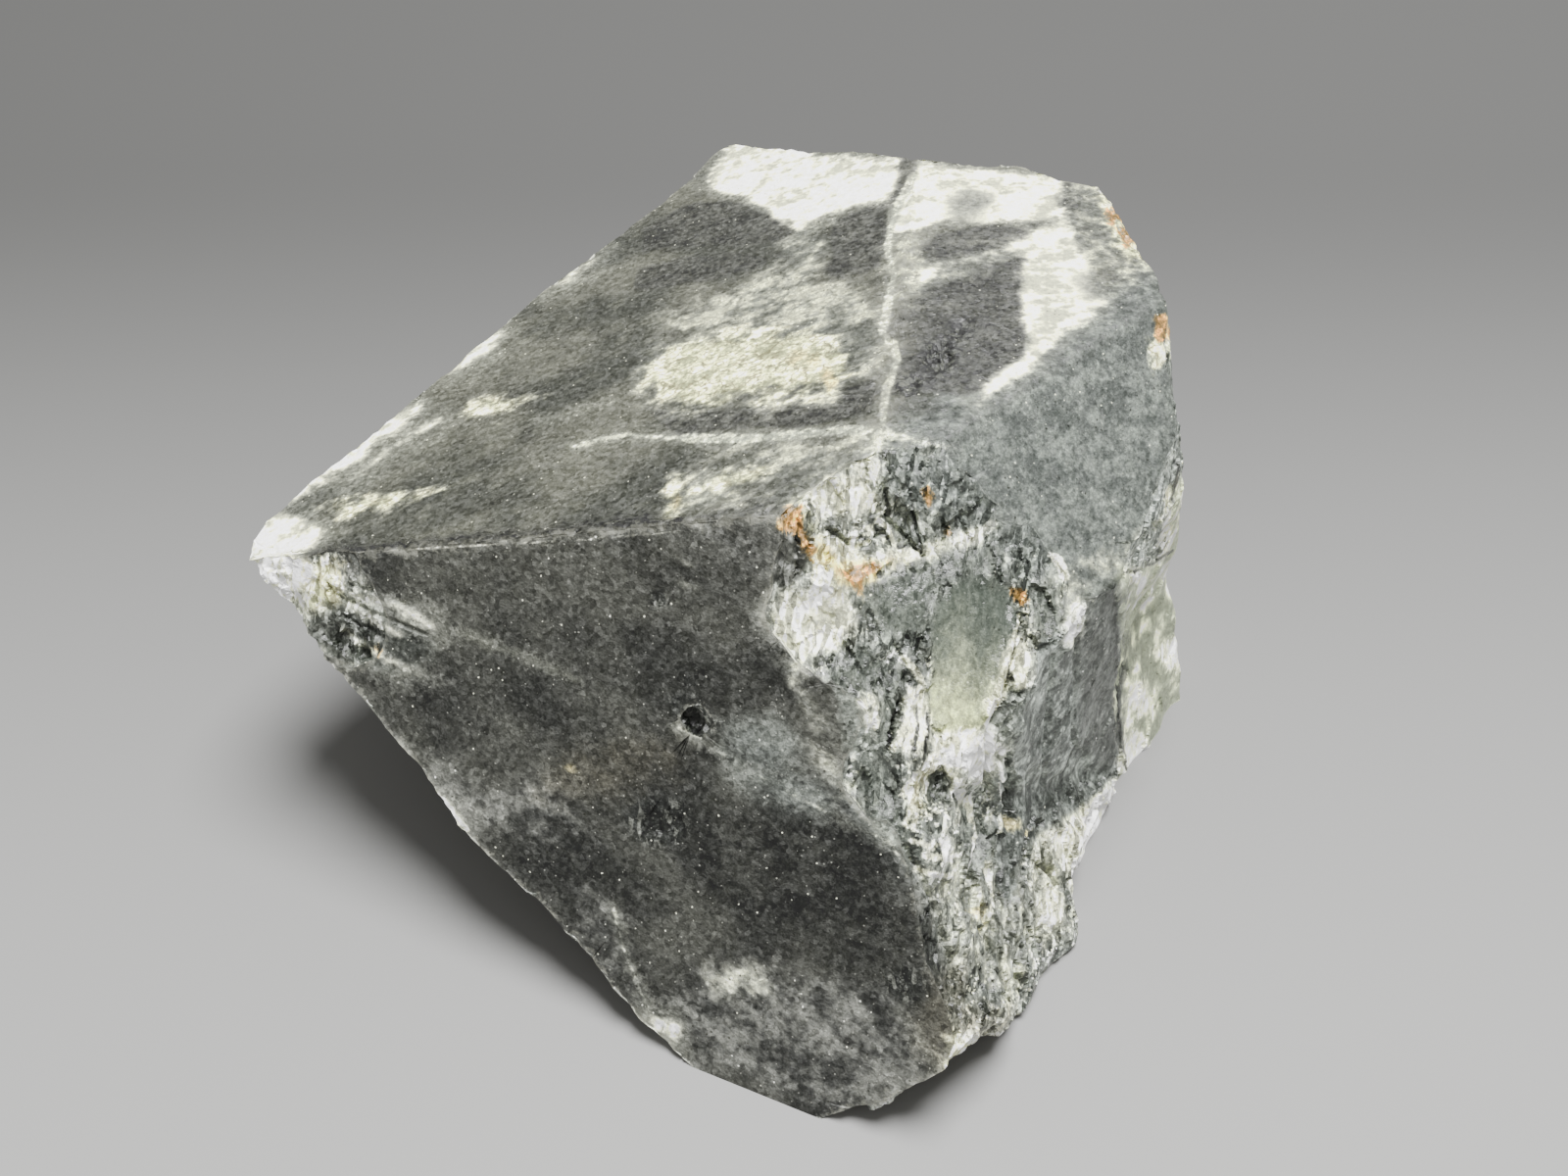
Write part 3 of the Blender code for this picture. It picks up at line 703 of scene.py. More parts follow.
# How strong the broken relief is in parts of the broken side: share, and outline in pixels.
RELIEF_ZONES = {
    "quartz": (0.6, "790,600 840,590 876,640 850,664 800,668 788,640"),
    "above the green patch": (0.5, "870,600 900,575 1000,570 1000,600 955,620 945,650 890,650"),
    "hollow": (0.3, "1140,600 1165,588 1205,480 1240,620 1230,720 1195,755 1155,800 1140,760"),
    "right edge": (0.5, "1150,220 1230,300 1240,500 1206,500 1180,320"),
    "green patch": (0.12, "948,645 955,612 980,592 1030,600 1034,660 1008,738 975,745 952,735 950,690"),
    "dark facet": (
        0.25, "1050,705 1070,660 1105,640 1120,612 1138,600 1141,780 1080,800 1040,850 1032,760"),
    "blocks": (1.0, "830,520 870,490 960,495 1020,530 980,570 900,590 845,590"),
    "splinters": (
        0.85, "858,640 900,640 948,690 952,760 1010,760 1000,830 940,860 905,850 880,780 855,700"),
}


def corners(text):
    """The points of a line or an outline, from its text."""
    return np.array([pair.split(",") for pair in text.split()], float)


def closed(outline):
    return np.vstack((outline, outline[:1]))


def seen_at(points):
    """The photograph's pixel for each point, and how far it is in front of the camera."""
    from_eye = points - EYE
    ahead = from_eye @ FORWARD
    across = PHOTO_WIDTH / 2 + FOCAL * (from_eye @ RIGHT) / ahead
    down = PHOTO_HEIGHT / 2 - FOCAL * (from_eye @ UP) / ahead
    return np.stack((across, down), axis=1), ahead


def depth_under(face, points):
    """How far the points are inside a sawn face."""
    azimuth, rise, reach = SAWN_FACES[face]
    turn, lift = math.radians(azimuth), math.radians(rise)
    facing = np.array((math.cos(turn) * math.cos(lift), math.sin(turn) * math.cos(lift), math.sin(lift)))
    return reach - (points - CENTRE) @ facing


def depths_under_faces(points):
    """How far the points are inside each sawn face, the nearest face first."""
    return np.sort([depth_under(face, points) for face in SAWN_FACES], axis=0)


def to_line(spots, line):
    """Distance in pixels from each spot to a line of points."""
    best = np.full(len(spots), FAR_AWAY)
    for start, end in zip(line[:-1], line[1:]):
        along = end - start
        share = np.clip((spots - start) @ along / max(along @ along, TINY), 0.0, 1.0)
        gap = spots - start - share[:, None] * along
        best = np.minimum(best, np.hypot(gap[:, 0], gap[:, 1]))
    return best


def into_area(spots, outline):
    """How far each spot is inside an outline, in pixels, and below nothing outside it."""
    around = closed(outline)
    inside = np.zeros(len(spots), bool)
    for (x0, y0), (x1, y1) in zip(around[:-1], around[1:]):
        if y0 == y1:
            continue
        crosses = (y0 > spots[:, 1]) != (y1 > spots[:, 1])
        inside ^= crosses & (spots[:, 0] < x0 + (spots[:, 1] - y0) / (y1 - y0) * (x1 - x0))
    gap = to_line(spots, around)
    return np.where(inside, gap, -gap)


def smooth_step(value, low, high):
    share = np.clip((value - low) / (high - low), 0.0, 1.0)
    return share * share * (3.0 - 2.0 * share)


class DepthMap:
    """How far the stone is from the photograph's camera, and how near markings are, over a grid."""

    def __init__(self, tree):
        self.rows = int(PHOTO_HEIGHT / GRID) + 1
        self.columns = int(PHOTO_WIDTH / GRID) + 1
        self.near_outline = self.nearest(
            [closed(corners(area[-1])) for areas in AREAS.values() for area in areas.values()])
        self.near_line = self.nearest(
            [corners(line[-1]) for lines in LINES.values() for line in lines.values()])
        self.depths = np.full((self.rows, self.columns), FAR_AWAY)
        for row in range(self.rows):
            for column in range(self.columns):
                across = (column * GRID - PHOTO_WIDTH / 2) / FOCAL
                down = (row * GRID - PHOTO_HEIGHT / 2) / FOCAL
                hit = tree.ray_cast(Vector(EYE), Vector(FORWARD + across * RIGHT - down * UP))
                if hit[0] is not None:
                    self.depths[row, column] = hit[3]

    def nearest(self, lines):
        """The distance in pixels from each spot of the grid to the nearest of some lines."""
        best = np.full((self.rows, self.columns), FAR_AWAY)
        for line in lines:
            low = np.maximum(np.floor(line.min(axis=0) / GRID).astype(int) - GRID_MARGIN, 0)
            high = np.ceil(line.max(axis=0) / GRID).astype(int) + GRID_MARGIN
            rows, columns = np.mgrid[low[1]:min(high[1], self.rows), low[0]:min(high[0], self.columns)]
            spots = np.stack((columns.ravel(), rows.ravel()), axis=1) * GRID
            there = best[rows, columns].ravel()
            best[rows, columns] = np.minimum(there, to_line(spots, line)).reshape(rows.shape)
        return best

    def cell(self, spots):
        column = np.clip(np.rint(spots[:, 0] / GRID).astype(int), 0, self.columns - 1)
        row = np.clip(np.rint(spots[:, 1] / GRID).astype(int), 0, self.rows - 1)
        return row, column


class Seen:
    """Where the photograph sees each point, and how far it lies behind what is seen there."""

    def __init__(self, points, depth_map):
        self.spots, ahead = seen_at(points)
        self.scale = ahead / FOCAL
        cell = depth_map.cell(self.spots)
        self.behind = np.maximum(np.linalg.norm(points - EYE, axis=1) - depth_map.depths[cell], 0.0)
        self.near_outline = depth_map.near_outline[cell]
        self.near_line = depth_map.near_line[cell]

    def line(self, text, depth):
        """How near each point is to a line, from below nothing up to nothing."""
        return -np.maximum(to_line(self.spots, corners(text)) * self.scale, self.behind - depth)

    def area(self, text, depth):
        """How far each point is inside an outline, and no more than a depth into the stone."""
        return np.minimum(into_area(self.spots, corners(text)) * self.scale, depth - self.behind)


def wanted_edge(points, seen):
    """The edge length wanted at each point."""
    nearest_face, next_face = depths_under_faces(points)[:2]
    flat = nearest_face < NEAR_FACE
    wanted = np.where(flat, FLAT_EDGE, BROKEN_EDGE)
    wanted = np.where(flat & (seen.near_outline < NEAR_OUTLINE), MARKED_EDGE, wanted)
    wanted = np.where(flat & (seen.near_line < NEAR_LINE), LINE_EDGE, wanted)
    wanted = np.where(flat & (next_face < NEAR_RIDGE), RIDGE_EDGE, wanted)
    wanted = np.where(~flat & (seen.behind > HARDLY_SEEN), NEARLY_HIDDEN_EDGE, wanted)
    wanted = np.where(seen.behind > NOT_SEEN, np.where(flat, FLAT_EDGE, HIDDEN_EDGE), wanted)
    wanted = np.where(points[:, 2] < NEAR_FACE, FLAT_EDGE, wanted)
    for depth, outline in HOLLOWS.values():
        near = into_area(seen.spots, corners(outline)) > -NEAR_HOLLOW
        wanted = np.where(near & (seen.behind < HOLLOW_BEHIND), FINEST_EDGE, wanted)
    return wanted


def edges_between(triangles, count):
    """Each edge once, as a pair of points, and the three edges of each triangle."""
    pairs = np.stack((triangles, np.roll(triangles, -1, axis=1)), axis=2).reshape(-1, 2)
    pairs.sort(axis=1)
    keys, sides = np.unique(pairs[:, 0] * count + pairs[:, 1], return_inverse=True)
    return np.stack((keys // count, keys % count), axis=1), sides.reshape(-1, 3)


def with_edges_cut(points, triangles, edges, sides, chosen):
    """The points and triangles, with the chosen edges cut at their middle."""
    middle_of = np.full(len(edges), -1)
    middle_of[chosen] = len(points) + np.arange(len(chosen))
    points = np.vstack((points, points[edges[chosen]].mean(axis=1)))
    middles = middle_of[sides]
    cut = middles >= 0
    cuts = cut.sum(axis=1)

    def turned(number, first):
        """Corners and middles of the triangles with that number of cuts, from their first corner on."""
        rows = cuts == number
        order = (first[rows, None] + np.arange(3)) % 3
        found = np.take_along_axis(triangles[rows], order, axis=1).T
        return [*found, *np.take_along_axis(middles[rows], order, axis=1).T]

    def joined(*points_of_each):
        return np.stack(points_of_each, axis=1)

    # The corners are a, b and c, and p, q and r are the middles of ab, bc and ca.
    a, b, c, p, q, r = turned(1, np.argmax(cut, axis=1))
    parts = [triangles[cuts == 0], joined(a, p, c), joined(p, b, c)]
    a, b, c, p, q, r = turned(2, np.argmin(cut, axis=1) + 1)
    aq_is_shorter = (np.linalg.norm(points[a] - points[q], axis=1)
                     < np.linalg.norm(points[p] - points[c], axis=1))
    parts += [joined(p, b, q), joined(a, p, np.where(aq_is_shorter, q, c)),
              joined(np.where(aq_is_shorter, a, p), q, c)]
    a, b, c, p, q, r = turned(3, np.zeros(len(triangles), int))
    parts += [joined(a, p, r), joined(p, b, q), joined(r, q, c), joined(p, q, r)]
    return points, np.vstack(parts)


def refined(node):
    """The points and triangles of a node's mesh with edges as short as wanted, in millimetres."""
    shape = bmesh.new()
    shape.from_mesh(node.data)
    bmesh.ops.scale(shape, vec=(1.0 / MM,) * 3, verts=shape.verts[:])
    bmesh.ops.remove_doubles(shape, verts=shape.verts[:], dist=WELD)
    bmesh.ops.triangulate(shape, faces=shape.faces[:])
    shape.verts.index_update()
    points = np.array([vert.co[:] for vert in shape.verts])
    triangles = np.array([[vert.index for vert in face.verts] for face in shape.faces])
    depth_map = DepthMap(BVHTree.FromBMesh(shape))
    shape.free()
    longest = LONGEST_EDGE
    while longest > FINEST_EDGE:
        edges, sides = edges_between(triangles, len(points))
        lengths = np.linalg.norm(points[edges[:, 0]] - points[edges[:, 1]], axis=1)
        long_ones = np.nonzero(lengths > longest)[0]
        if len(long_ones) and longest < CUT_ANYWHERE:
            middles = points[edges[long_ones]].mean(axis=1)
            wanted = wanted_edge(middles, Seen(middles, depth_map))
            long_ones = long_ones[lengths[long_ones] > wanted]
        if len(long_ones):
            points, triangles = with_edges_cut(points, triangles, edges, sides, long_ones)
        longest *= EDGE_STEP
    return points, triangles, depth_map


def smoothed(points, edges, movable):
    """Points drawn towards their neighbours' middle, where they may move."""
    count = len(points)
    degree = np.bincount(edges.ravel(), minlength=count)
    for turn in range(SMOOTHING_TURNS):
        total = np.zeros_like(points)
        for axis in range(3):
            for one, other in (edges.T, edges.T[::-1]):
                total[:, axis] += np.bincount(one, points[other, axis], count)
        points = points + (total / degree[:, None] - points) * (SMOOTHING_SHARE * movable)[:, None]
    return points


def point_normals(points, triangles):
    first, second, third = points[triangles].transpose(1, 0, 2)
    across = np.cross(second - first, third - first)
    total = np.zeros_like(points)
    for corner in triangles.T:
        for axis in range(3):
            total[:, axis] += np.bincount(corner, across[:, axis], len(points))
    return total / np.maximum(np.linalg.norm(total, axis=1), TINY)[:, None]


def tree_of(points):
    tree = KDTree(len(points))
    for i, point in enumerate(points):
        tree.insert(point, i)
    tree.balance()
    return tree


def shards(points, normals, draws, spacing, stretch, tilt, step, most):
    """A relief of small tilted facets with steps between them, longer down the face than across."""
    scaled = points - (points @ SHARD_FALL)[:, None] * SHARD_FALL * (1.0 - 1.0 / stretch)
    count = max(int(len(points) * (FINEST_EDGE / spacing) ** 2 / stretch * SHARD_SURPLUS), FEWEST_SHARDS)
    chosen = draws.choice(len(points), count, replace=False)
    tree = tree_of(scaled[chosen])
    leaning = draws.uniform(-tilt, tilt, (count, 3))
    lift = draws.uniform(-step, step, count)
    nearest = np.array([tree.find(point)[1] for point in scaled])
    offset = points - points[chosen[nearest]]
    across = offset - (offset * normals).sum(axis=1)[:, None] * normals
    height = (across * leaning[nearest]).sum(axis=1) + lift[nearest]
    return most * np.tanh(height / most)


def rough(points, size, seed):
    """Smooth noise with lumps of a size, between about -1 and 1."""
    shift = Vector([seed * part for part in NOISE_SHIFT])
    return np.array([noise.noise(Vector(point) / size + shift) for point in points])


def distance_to_edge(points, under_faces, on_sawn, broken):
    """The distance to the nearest sawn edge: another sawn face, or the broken side."""
    to_edge = np.where(broken, under_faces[0], under_faces[1])
    broken_tree = tree_of(points[broken])
    to_broken = [broken_tree.find(point)[2] for point in points[on_sawn]]
    to_edge[on_sawn] = np.minimum(to_edge[on_sawn], to_broken)
    return to_edge


def broken_relief(points, normals, seen, broken, to_sawn, draws):
    """The height of the broken side's small facets and lumps at each point."""
    share = np.where(broken, smooth_step(to_sawn, *RELIEF_RISE), 0.0)
    share *= smooth_step(points[:, 2], *GROUND_RISE)
    strength = 1.0 - HIDDEN_CALM * smooth_step(seen.behind, *OUT_OF_SIGHT)
    for zone_share, outline in RELIEF_ZONES.values():
        inside = smooth_step(seen.area(outline, ZONE_DEPTH), -ZONE_EDGE, ZONE_EDGE)
        strength = strength * (1.0 - inside) + zone_share * inside
    relief = np.zeros(len(points))
    rows = np.nonzero(share > 0)[0]
    for facets in SHARDS:
        relief[rows] += shards(points[rows], normals[rows], draws, *facets)
    size, seed, height = LUMPS
    relief[rows] += rough(points[rows], size, seed) * height
    return relief * share * strength


def carving(points, seen):
    """How much each point is raised by grooves, ridges and hollows."""
    carved = np.zeros(len(points))
    for half_width, depth, line in GROOVES.values():
        carved -= depth * (1.0 - smooth_step(-seen.line(line, GROOVE_REACH), 0.0, half_width))
    least, more, size, seed = RUBBLE
    rubble = least + more * rough(points, size, seed)
    for depth, outline in HOLLOWS.values():
        hollow = depth * smooth_step(seen.area(outline, HOLLOW_REACH), *HOLLOW_SIDE)
        carved -= hollow * rubble if depth < SHALLOW else hollow
    return carved


def chipping(points, to_edge):
    """How deep the chips along the sawn edges are at each point."""
    amount = CHIP_EVENLY + sum(rough(points, size, seed) * share for size, seed, share in CHIP_NOISE)
    near_edge = smooth_step(CHIP_WIDTH - to_edge, 0.0, CHIP_WIDTH)
    return near_edge * np.clip(amount, 0.0, 1.0) * CHIP_DEPTH


def marking_reaches(seen):
    """How far each point is inside the markings of each kind."""
    reaches = {}
    for kind, areas in AREAS.items():
        for fullness, depth, outline in areas.values():
            reaches.setdefault(kind, []).append(seen.area(outline, depth) + fullness)
    for kind, lines in LINES.items():
        for width, fullness, depth, line in lines.values():
            reaches.setdefault(kind, []).append(seen.line(line, depth) + width / 2 + fullness)
    return {kind: np.max(reach, axis=0) for kind, reach in reaches.items()}


def light_on(normals, seen):
    """The light that each point gets, as a white surface there would send it to the camera."""
    to_lamp = np.array(LAMP_PLACE) - np.array(LAMP_AIM)
    squarely = np.clip(normals @ to_lamp / np.linalg.norm(to_lamp), LEAST_SQUARE, 1.0)
    hidden = smooth_step(seen.behind, *OUT_OF_SIGHT)
    return (SKY_LIGHT + LAMP_LIGHT * squarely) * (1.0 - hidden) + HIDDEN_LIGHT * hidden


def stone_mesh(node):
    """The refined and detailed mesh, with its markings as named values at its points."""
    draws = np.random.default_rng(SEED)
    points, triangles, depth_map = refined(node)
    under_faces = depths_under_faces(points)
    on_sawn = under_faces[0] < TOUCHES
    on_ground = points[:, 2] < TOUCHES
    broken = ~on_sawn & ~on_ground
    to_edge = distance_to_edge(points, under_faces, on_sawn, broken)

    # The broken side loses its facets, and the shoulder's edge is rounded.
    upper = np.minimum(depth_under("top", points), depth_under("top right", points))
    rounded = (depth_under("shoulder", points) < ROUNDED) & (upper < ROUNDED)
    edges, sides = edges_between(triangles, len(points))
    points = smoothed(points, edges, (broken | rounded).astype(float))

    seen = Seen(points, depth_map)
    normals = point_normals(points, triangles)
    relief = broken_relief(points, normals, seen, broken, under_faces[0], draws)
    carved = carving(points, seen)
    guard = np.where(on_sawn, smooth_step(to_edge, *GUARDED), 1.0)
    chips = np.where(rounded, 0.0, chipping(points, to_edge))
    relief += np.where(on_ground, 0.0, carved * guard - chips)
    low, high = np.array(CAD_BOX) / MM
    points = np.clip(points + normals * relief[:, None], low, high)
    mesh = bpy.data.meshes.new("stone skin")
    mesh.from_pydata((points * MM).tolist(), [], triangles.tolist())
    mesh.update()

    values = marking_reaches(seen)
    values["broken"] = broken
    values["edge"] = np.clip(to_edge, 0.0, MOST_TO_EDGE)
    values["behind"] = seen.behind
    values["front"] = depth_under("front", points) < FRONT_DEPTH
    values["shoulder"] = 1.0 - smooth_step(depth_under("shoulder", points), *SHOULDER_FADE)
    values["lit"] = light_on(normals, seen)
    values["carved"] = np.clip(-carved, 0.0, MOST_CARVED)
    values["glow"] = smooth_step(seen.spots[:, 1], *GLOW_ROWS)
    for name, value in values.items():
        stored = mesh.attributes.new(name, "FLOAT", "POINT")
        stored.data.foreach_set("value", np.clip(value, *STORED).astype(np.float32))
    mesh.shade_smooth()
    mesh.set_sharp_from_angle(angle=SHARP_EDGE)
    return mesh


class Shader:
    """Builds the nodes of one material."""

    def __init__(self, name):
        self.material = bpy.data.materials.new(name)
        self.material.use_nodes = True
        self.tree = self.material.node_tree
        self.surface = self.tree.nodes["Principled BSDF"]
        self.place = self.scaled(self.node("TexCoord", {}).outputs["Object"], 1.0 / MM)

    def put(self, node, inputs):
        for name, value in inputs.items():
            if isinstance(value, bpy.types.NodeSocket):
                self.tree.links.new(value, node.inputs[name])
            else:
                node.inputs[name].default_value = value

    def node(self, kind, inputs, **settings):
        """A new node, with numbers or other nodes' outputs at its inputs."""
        made = self.tree.nodes.new("ShaderNode" + kind)
        for name, setting in settings.items():
            setattr(made, name, setting)
        self.put(made, inputs)
        return made

    def value(self, name):
        return self.node("Attribute", {}, attribute_name=name).outputs["Fac"]

    def maths(self, operation, first, *others):
        """Some numbers taken together, one after the other."""
        for other in others:
            first = self.node("Math", {0: first, 1: other}, operation=operation).outputs[0]
        return first

    def vector(self, operation, first, second):
        return self.node("VectorMath", {0: first, 1: second}, operation=operation).outputs["Vector"]

    def scaled(self, vector, times):
        return self.node("VectorMath", {0: vector, "Scale": times}, operation="SCALE").outputs["Vector"]

    def step(self, value, low, high, start=0.0, end=1.0):
        """From a start to an end, smoothly, while a value goes from low to high."""
        inputs = {"Value": value, "From Min": low, "From Max": high, "To Min": start, "To Max": end}
        return self.node("MapRange", inputs, interpolation_type="SMOOTHSTEP").outputs["Result"]

    def mixed(self, kind, share, first, second):
        """Two numbers, vectors or colours, mixed by the share of the second."""
        place = ("FLOAT", "VECTOR", "RGBA").index(kind)
        inputs = {0: share, 2 * place + 2: first, 2 * place + 3: second}
        return self.node("Mix", inputs, data_type=kind).outputs[place]

    def painted(self, share, first, second):
        """Two colours mixed, each from another node or in levels of the screen."""
        colours = []
        for colour in (first, second):
            if isinstance(colour, tuple):
                colour = tuple(level / MOST_LEVEL for level in colour) + (1.0,)
            colours.append(colour)
        return self.mixed("RGBA", share, *colours)

    def noise(self, place, size, detail, roughness):
        inputs = {"Vector": place, "Scale": 1.0 / size, "Detail": detail, "Roughness": roughness}
        return self.node("TexNoise", inputs).outputs["Fac"]

    def cells(self, place, size, feature="F1"):
        return self.node("TexVoronoi", {"Vector": place, "Scale": 1.0 / size}, feature=feature).outputs

    def stretched(self, grain, times):
        """The place drawn out along a direction, so that patterns run along it."""
        dot = self.node("VectorMath", {0: self.place, 1: grain}, operation="DOT_PRODUCT")
        along = self.maths("MULTIPLY", dot.outputs["Value"], 1.0 - 1.0 / times)
        return self.vector("SUBTRACT", self.place, self.scaled(grain, along))

    def shift(self, name, place):
        """A place moved about by noise, so that what is drawn there gets uneven edges."""
        size, amount = SHIFTS[name]
        moves = self.node("TexNoise", {"Vector": place, "Scale": 1.0 / size, "Detail": SHIFT_DETAIL})
        moved = self.vector("SUBTRACT", moves.outputs["Color"], HALVES)
        return self.vector("ADD", place, self.scaled(moved, amount))

    def ramp(self, name, value):
        """How much a pattern takes effect where it has a value."""
        return self.step(value, *RAMPS[name])

    def stirred(self, name, *patterns, around=None):
        """Patterns added up, each swinging by its amount, about nothing or about another value."""
        total = around
        for pattern, amount in zip(patterns, SWINGS[name]):
            swing = self.maths("MULTIPLY", self.maths("SUBTRACT", pattern, 0.5), amount)
            total = swing if total is None else self.maths("ADD", total, swing)
        return total

    def parts(self, colour):
        return self.node("SeparateColor", {0: colour}).outputs

    def brightened(self, colour, amount):
        """A colour made brighter by an amount, or darker by one below nothing."""
        even = self.node("CombineColor", {0: amount, 1: amount, 2: amount}).outputs[0]
        return self.vector("ADD", colour, even)

    def between(self, vector, low, high):
        return self.vector("MINIMUM", self.vector("MAXIMUM", vector, (low,) * 3), (high,) * 3)


class StoneShader(Shader):
    """The stone's material. Its colours are those of the screen until the last step."""

    def __init__(self):
        super().__init__("stone finish")
        self.broken, self.front = self.value("broken"), self.value("front")
        self.far = self.ramp("far side", self.value("behind"))
        # Saw marks and grain run along each sawn face in one direction, and down the broken side.
        lay = self.along_grain(*GRAIN_STRETCH)
        self.drawn_out = self.along_grain(*WISP_STRETCH)
        self.clouds = self.noise(lay, *CLOUDS)
        self.wisps = self.noise(self.shift("wisps", self.drawn_out), *WISPS)
        self.middling = self.noise(lay, *MIDDLING)
        self.fine = self.noise(lay, *FINE)
        self.finest = self.noise(self.place, *FINEST)
        self.grains = self.cells(self.shift("grains", lay), GRAIN_SIZE)["Color"]
        # Crystals of the broken side: each has its own tone and its own lie.
        self.crystal_place = self.shift("large crystals", self.stretched(BROKEN_GRAIN, LARGE_STRETCH))
        small_place = self.shift("small crystals", self.stretched(BROKEN_GRAIN, SMALL_STRETCH))
        self.large = self.cells(self.crystal_place, LARGE_SIZE)["Color"]
        self.small = self.cells(small_place, SMALL_SIZE)["Color"]
        self.large_tone, self.small_tone = self.parts(self.large), self.parts(self.small)
        crystal = self.stirred("crystal", self.wisps, self.large_tone[0], self.small_tone[0], self.fine)
        self.crystal = self.ramp("crystal", crystal)

    def along_grain(self, top, front, broken):
        """The place drawn out along the grain, by so many times on each kind of face."""
        flat = self.mixed("VECTOR", self.front, self.stretched(TOP_GRAIN, top),
                          self.stretched(FRONT_GRAIN, front))
        return self.mixed("VECTOR", self.broken, flat, self.stretched(BROKEN_GRAIN, broken))

    def clouded(self, rock, wisps):
        """Rock with clouds of two tones, and with wisps of its other colours in it."""
        dim, bright, *others = rock
        colour = self.painted(self.ramp("clouds", self.clouds), dim, bright)
        for other, ramp in zip(others, wisps):
            colour = self.painted(self.step(self.wisps, *ramp), colour, other)
        return colour

    def bare_rock(self):
        """Dark grey rock, olive in places, with lighter clouds in it. On the sawn front it is painted
        darker, as the same rock looks in that face's lesser light, and the last step divides that light
        out.
        """
        top_rock = self.clouded(TOP_ROCK, TOP_WISPS)
        front_rock = self.clouded(FRONT_ROCK_IN_SHADE, FRONT_WISPS)
        mottle = self.ramp("mottle", self.stirred("mottle", self.wisps, self.middling))
        shoulder_rock = self.painted(mottle, *SHOULDER_ROCK)
        rock = self.painted(self.front, top_rock, front_rock)
        shoulder = self.stirred("shoulder", self.wisps, around=self.value("shoulder"))
        rock = self.painted(self.ramp("shoulder", shoulder), rock, shoulder_rock)

        crystal_rock = self.painted(self.crystal, *CRYSTAL_ROCK)
        flakes = self.maths("MULTIPLY", self.small_tone[2], SHARES["flakes"])
        flakes = self.ramp("flakes", self.stirred("flakes", self.wisps, around=flakes))
        crystal_rock = self.painted(flakes, crystal_rock, FLAKE)
        glints = self.parts(self.cells(self.shift("glints", self.place), GLINT_SIZE)["Color"])
        glints = self.maths("MULTIPLY", glints[0], SHARES["glints"])
        glints = self.ramp("glints", self.stirred("glints", self.wisps, self.middling, around=glints))
        crystal_rock = self.painted(glints, crystal_rock, GLINT)
        # The sides that the photograph doesn't show are calmer, and darker.
        far_share = self.maths("MULTIPLY", self.far, SHARES["far rock"])
        crystal_rock = self.painted(far_share, crystal_rock, self.clouded(FAR_ROCK, FAR_WISPS))
        rock = self.painted(self.broken, rock, crystal_rock)

        # Pale crystal fades into the rock around it in paler halos: partly its own colour, partly painted
        # glow of light through the crystal.
        halo = self.stirred("white fade and glow", self.wisps, self.fine, around=self.value("white"))
        rock = self.painted(self.ramp("white fade and glow", halo), rock, WHITE_FADE_AND_GLOW)
        halo = self.stirred("vein fade and glow", self.middling, self.fine, around=self.value("vein"))
        return self.painted(self.ramp("vein fade and glow", halo), rock, VEIN_FADE_AND_GLOW)

    def tones(self):
        """How bright each spot of a marking is between its two colours: the usual, then by kind."""
        flat = self.stirred("flat tone", self.wisps, self.middling, self.fine)
        usual = self.mixed("FLOAT", self.broken, self.ramp("flat tone", flat), self.crystal)
        soft = self.stirred("soft tone", self.wisps, self.middling, self.clouds)
        soft = self.ramp("soft tone", soft)
        pits = self.stirred("pits", self.finest, around=self.small_tone[0])
        green = self.stirred("green", self.wisps, self.fine, around=self.value("glow"))
        # Painted highlights: each knob of the hollow's pale crystal is brightest at its middle, as a
        # rounded knob catching the light.
        nodule_highlights = self.cells(self.shift("nodule_highlights", self.place), NODULE_HIGHLIGHT_SIZE)["Distance"]
        nodule_highlights = self.stirred("nodule_highlights", self.wisps, self.middling, around=nodule_highlights)
        streaks = self.noise(self.stretched(BROKEN_GRAIN, STREAK_STRETCH), *STREAKS)
        facet = self.stirred("facet", streaks, self.middling, self.fine)
        return usual, {
            "mist": soft,
            "haze": soft,
            "shade": soft,
            "white": self.mixed("FLOAT", self.broken, self.ramp("white", soft), self.crystal),
            "pits": self.ramp("pits", pits),
            "green": self.ramp("green", green),
            "nodules_and_highlights": self.ramp("nodules_and_highlights", nodule_highlights),
            "facet": self.ramp("facet", facet),
        }

    def marked(self, rock):
        """The rock with all its markings, and how much each kind covers."""
        wander = self.mixed("FLOAT", self.broken,
                            self.stirred("flat wander", self.wisps),
                            self.stirred("broken wander", self.large_tone[1], self.small_tone[1]))
        crumble = self.mixed("FLOAT", self.broken,
                             self.stirred("flat crumble", self.middling, self.fine),
                             self.stirred("broken crumble", self.middling, self.fine))
        # On the sides that the photograph doesn't show, pale crystal runs through it by chance.
        bands = self.noise(self.shift("bands", self.place), *BANDS)
        bands = self.stirred("bands", self.fine, around=bands)
        usual, tones = self.tones()
        masks = {}
        for kind, wanders, crumbles, fades, share, dim, bright in PAINT:
            reach = self.maths("ADD", self.value(kind), self.maths("MULTIPLY", wander, wanders),
                               self.maths("MULTIPLY", crumble, crumbles))
            mask = self.step(reach, -fades, fades)
            if kind in FAR_BANDS:
                far_band = self.maths("MULTIPLY", self.far, self.step(bands, *FAR_BANDS[kind]))
                mask = self.maths("MAXIMUM", mask, far_band)
            if kind == "haze":
                mask = self.maths("MULTIPLY", mask, self.ramp("haze in wisps", self.wisps))
            masks[kind] = mask
            colour = self.painted(tones.get(kind, usual), dim, bright)
            rock = self.painted(self.maths("MULTIPLY", mask, share), rock, colour)

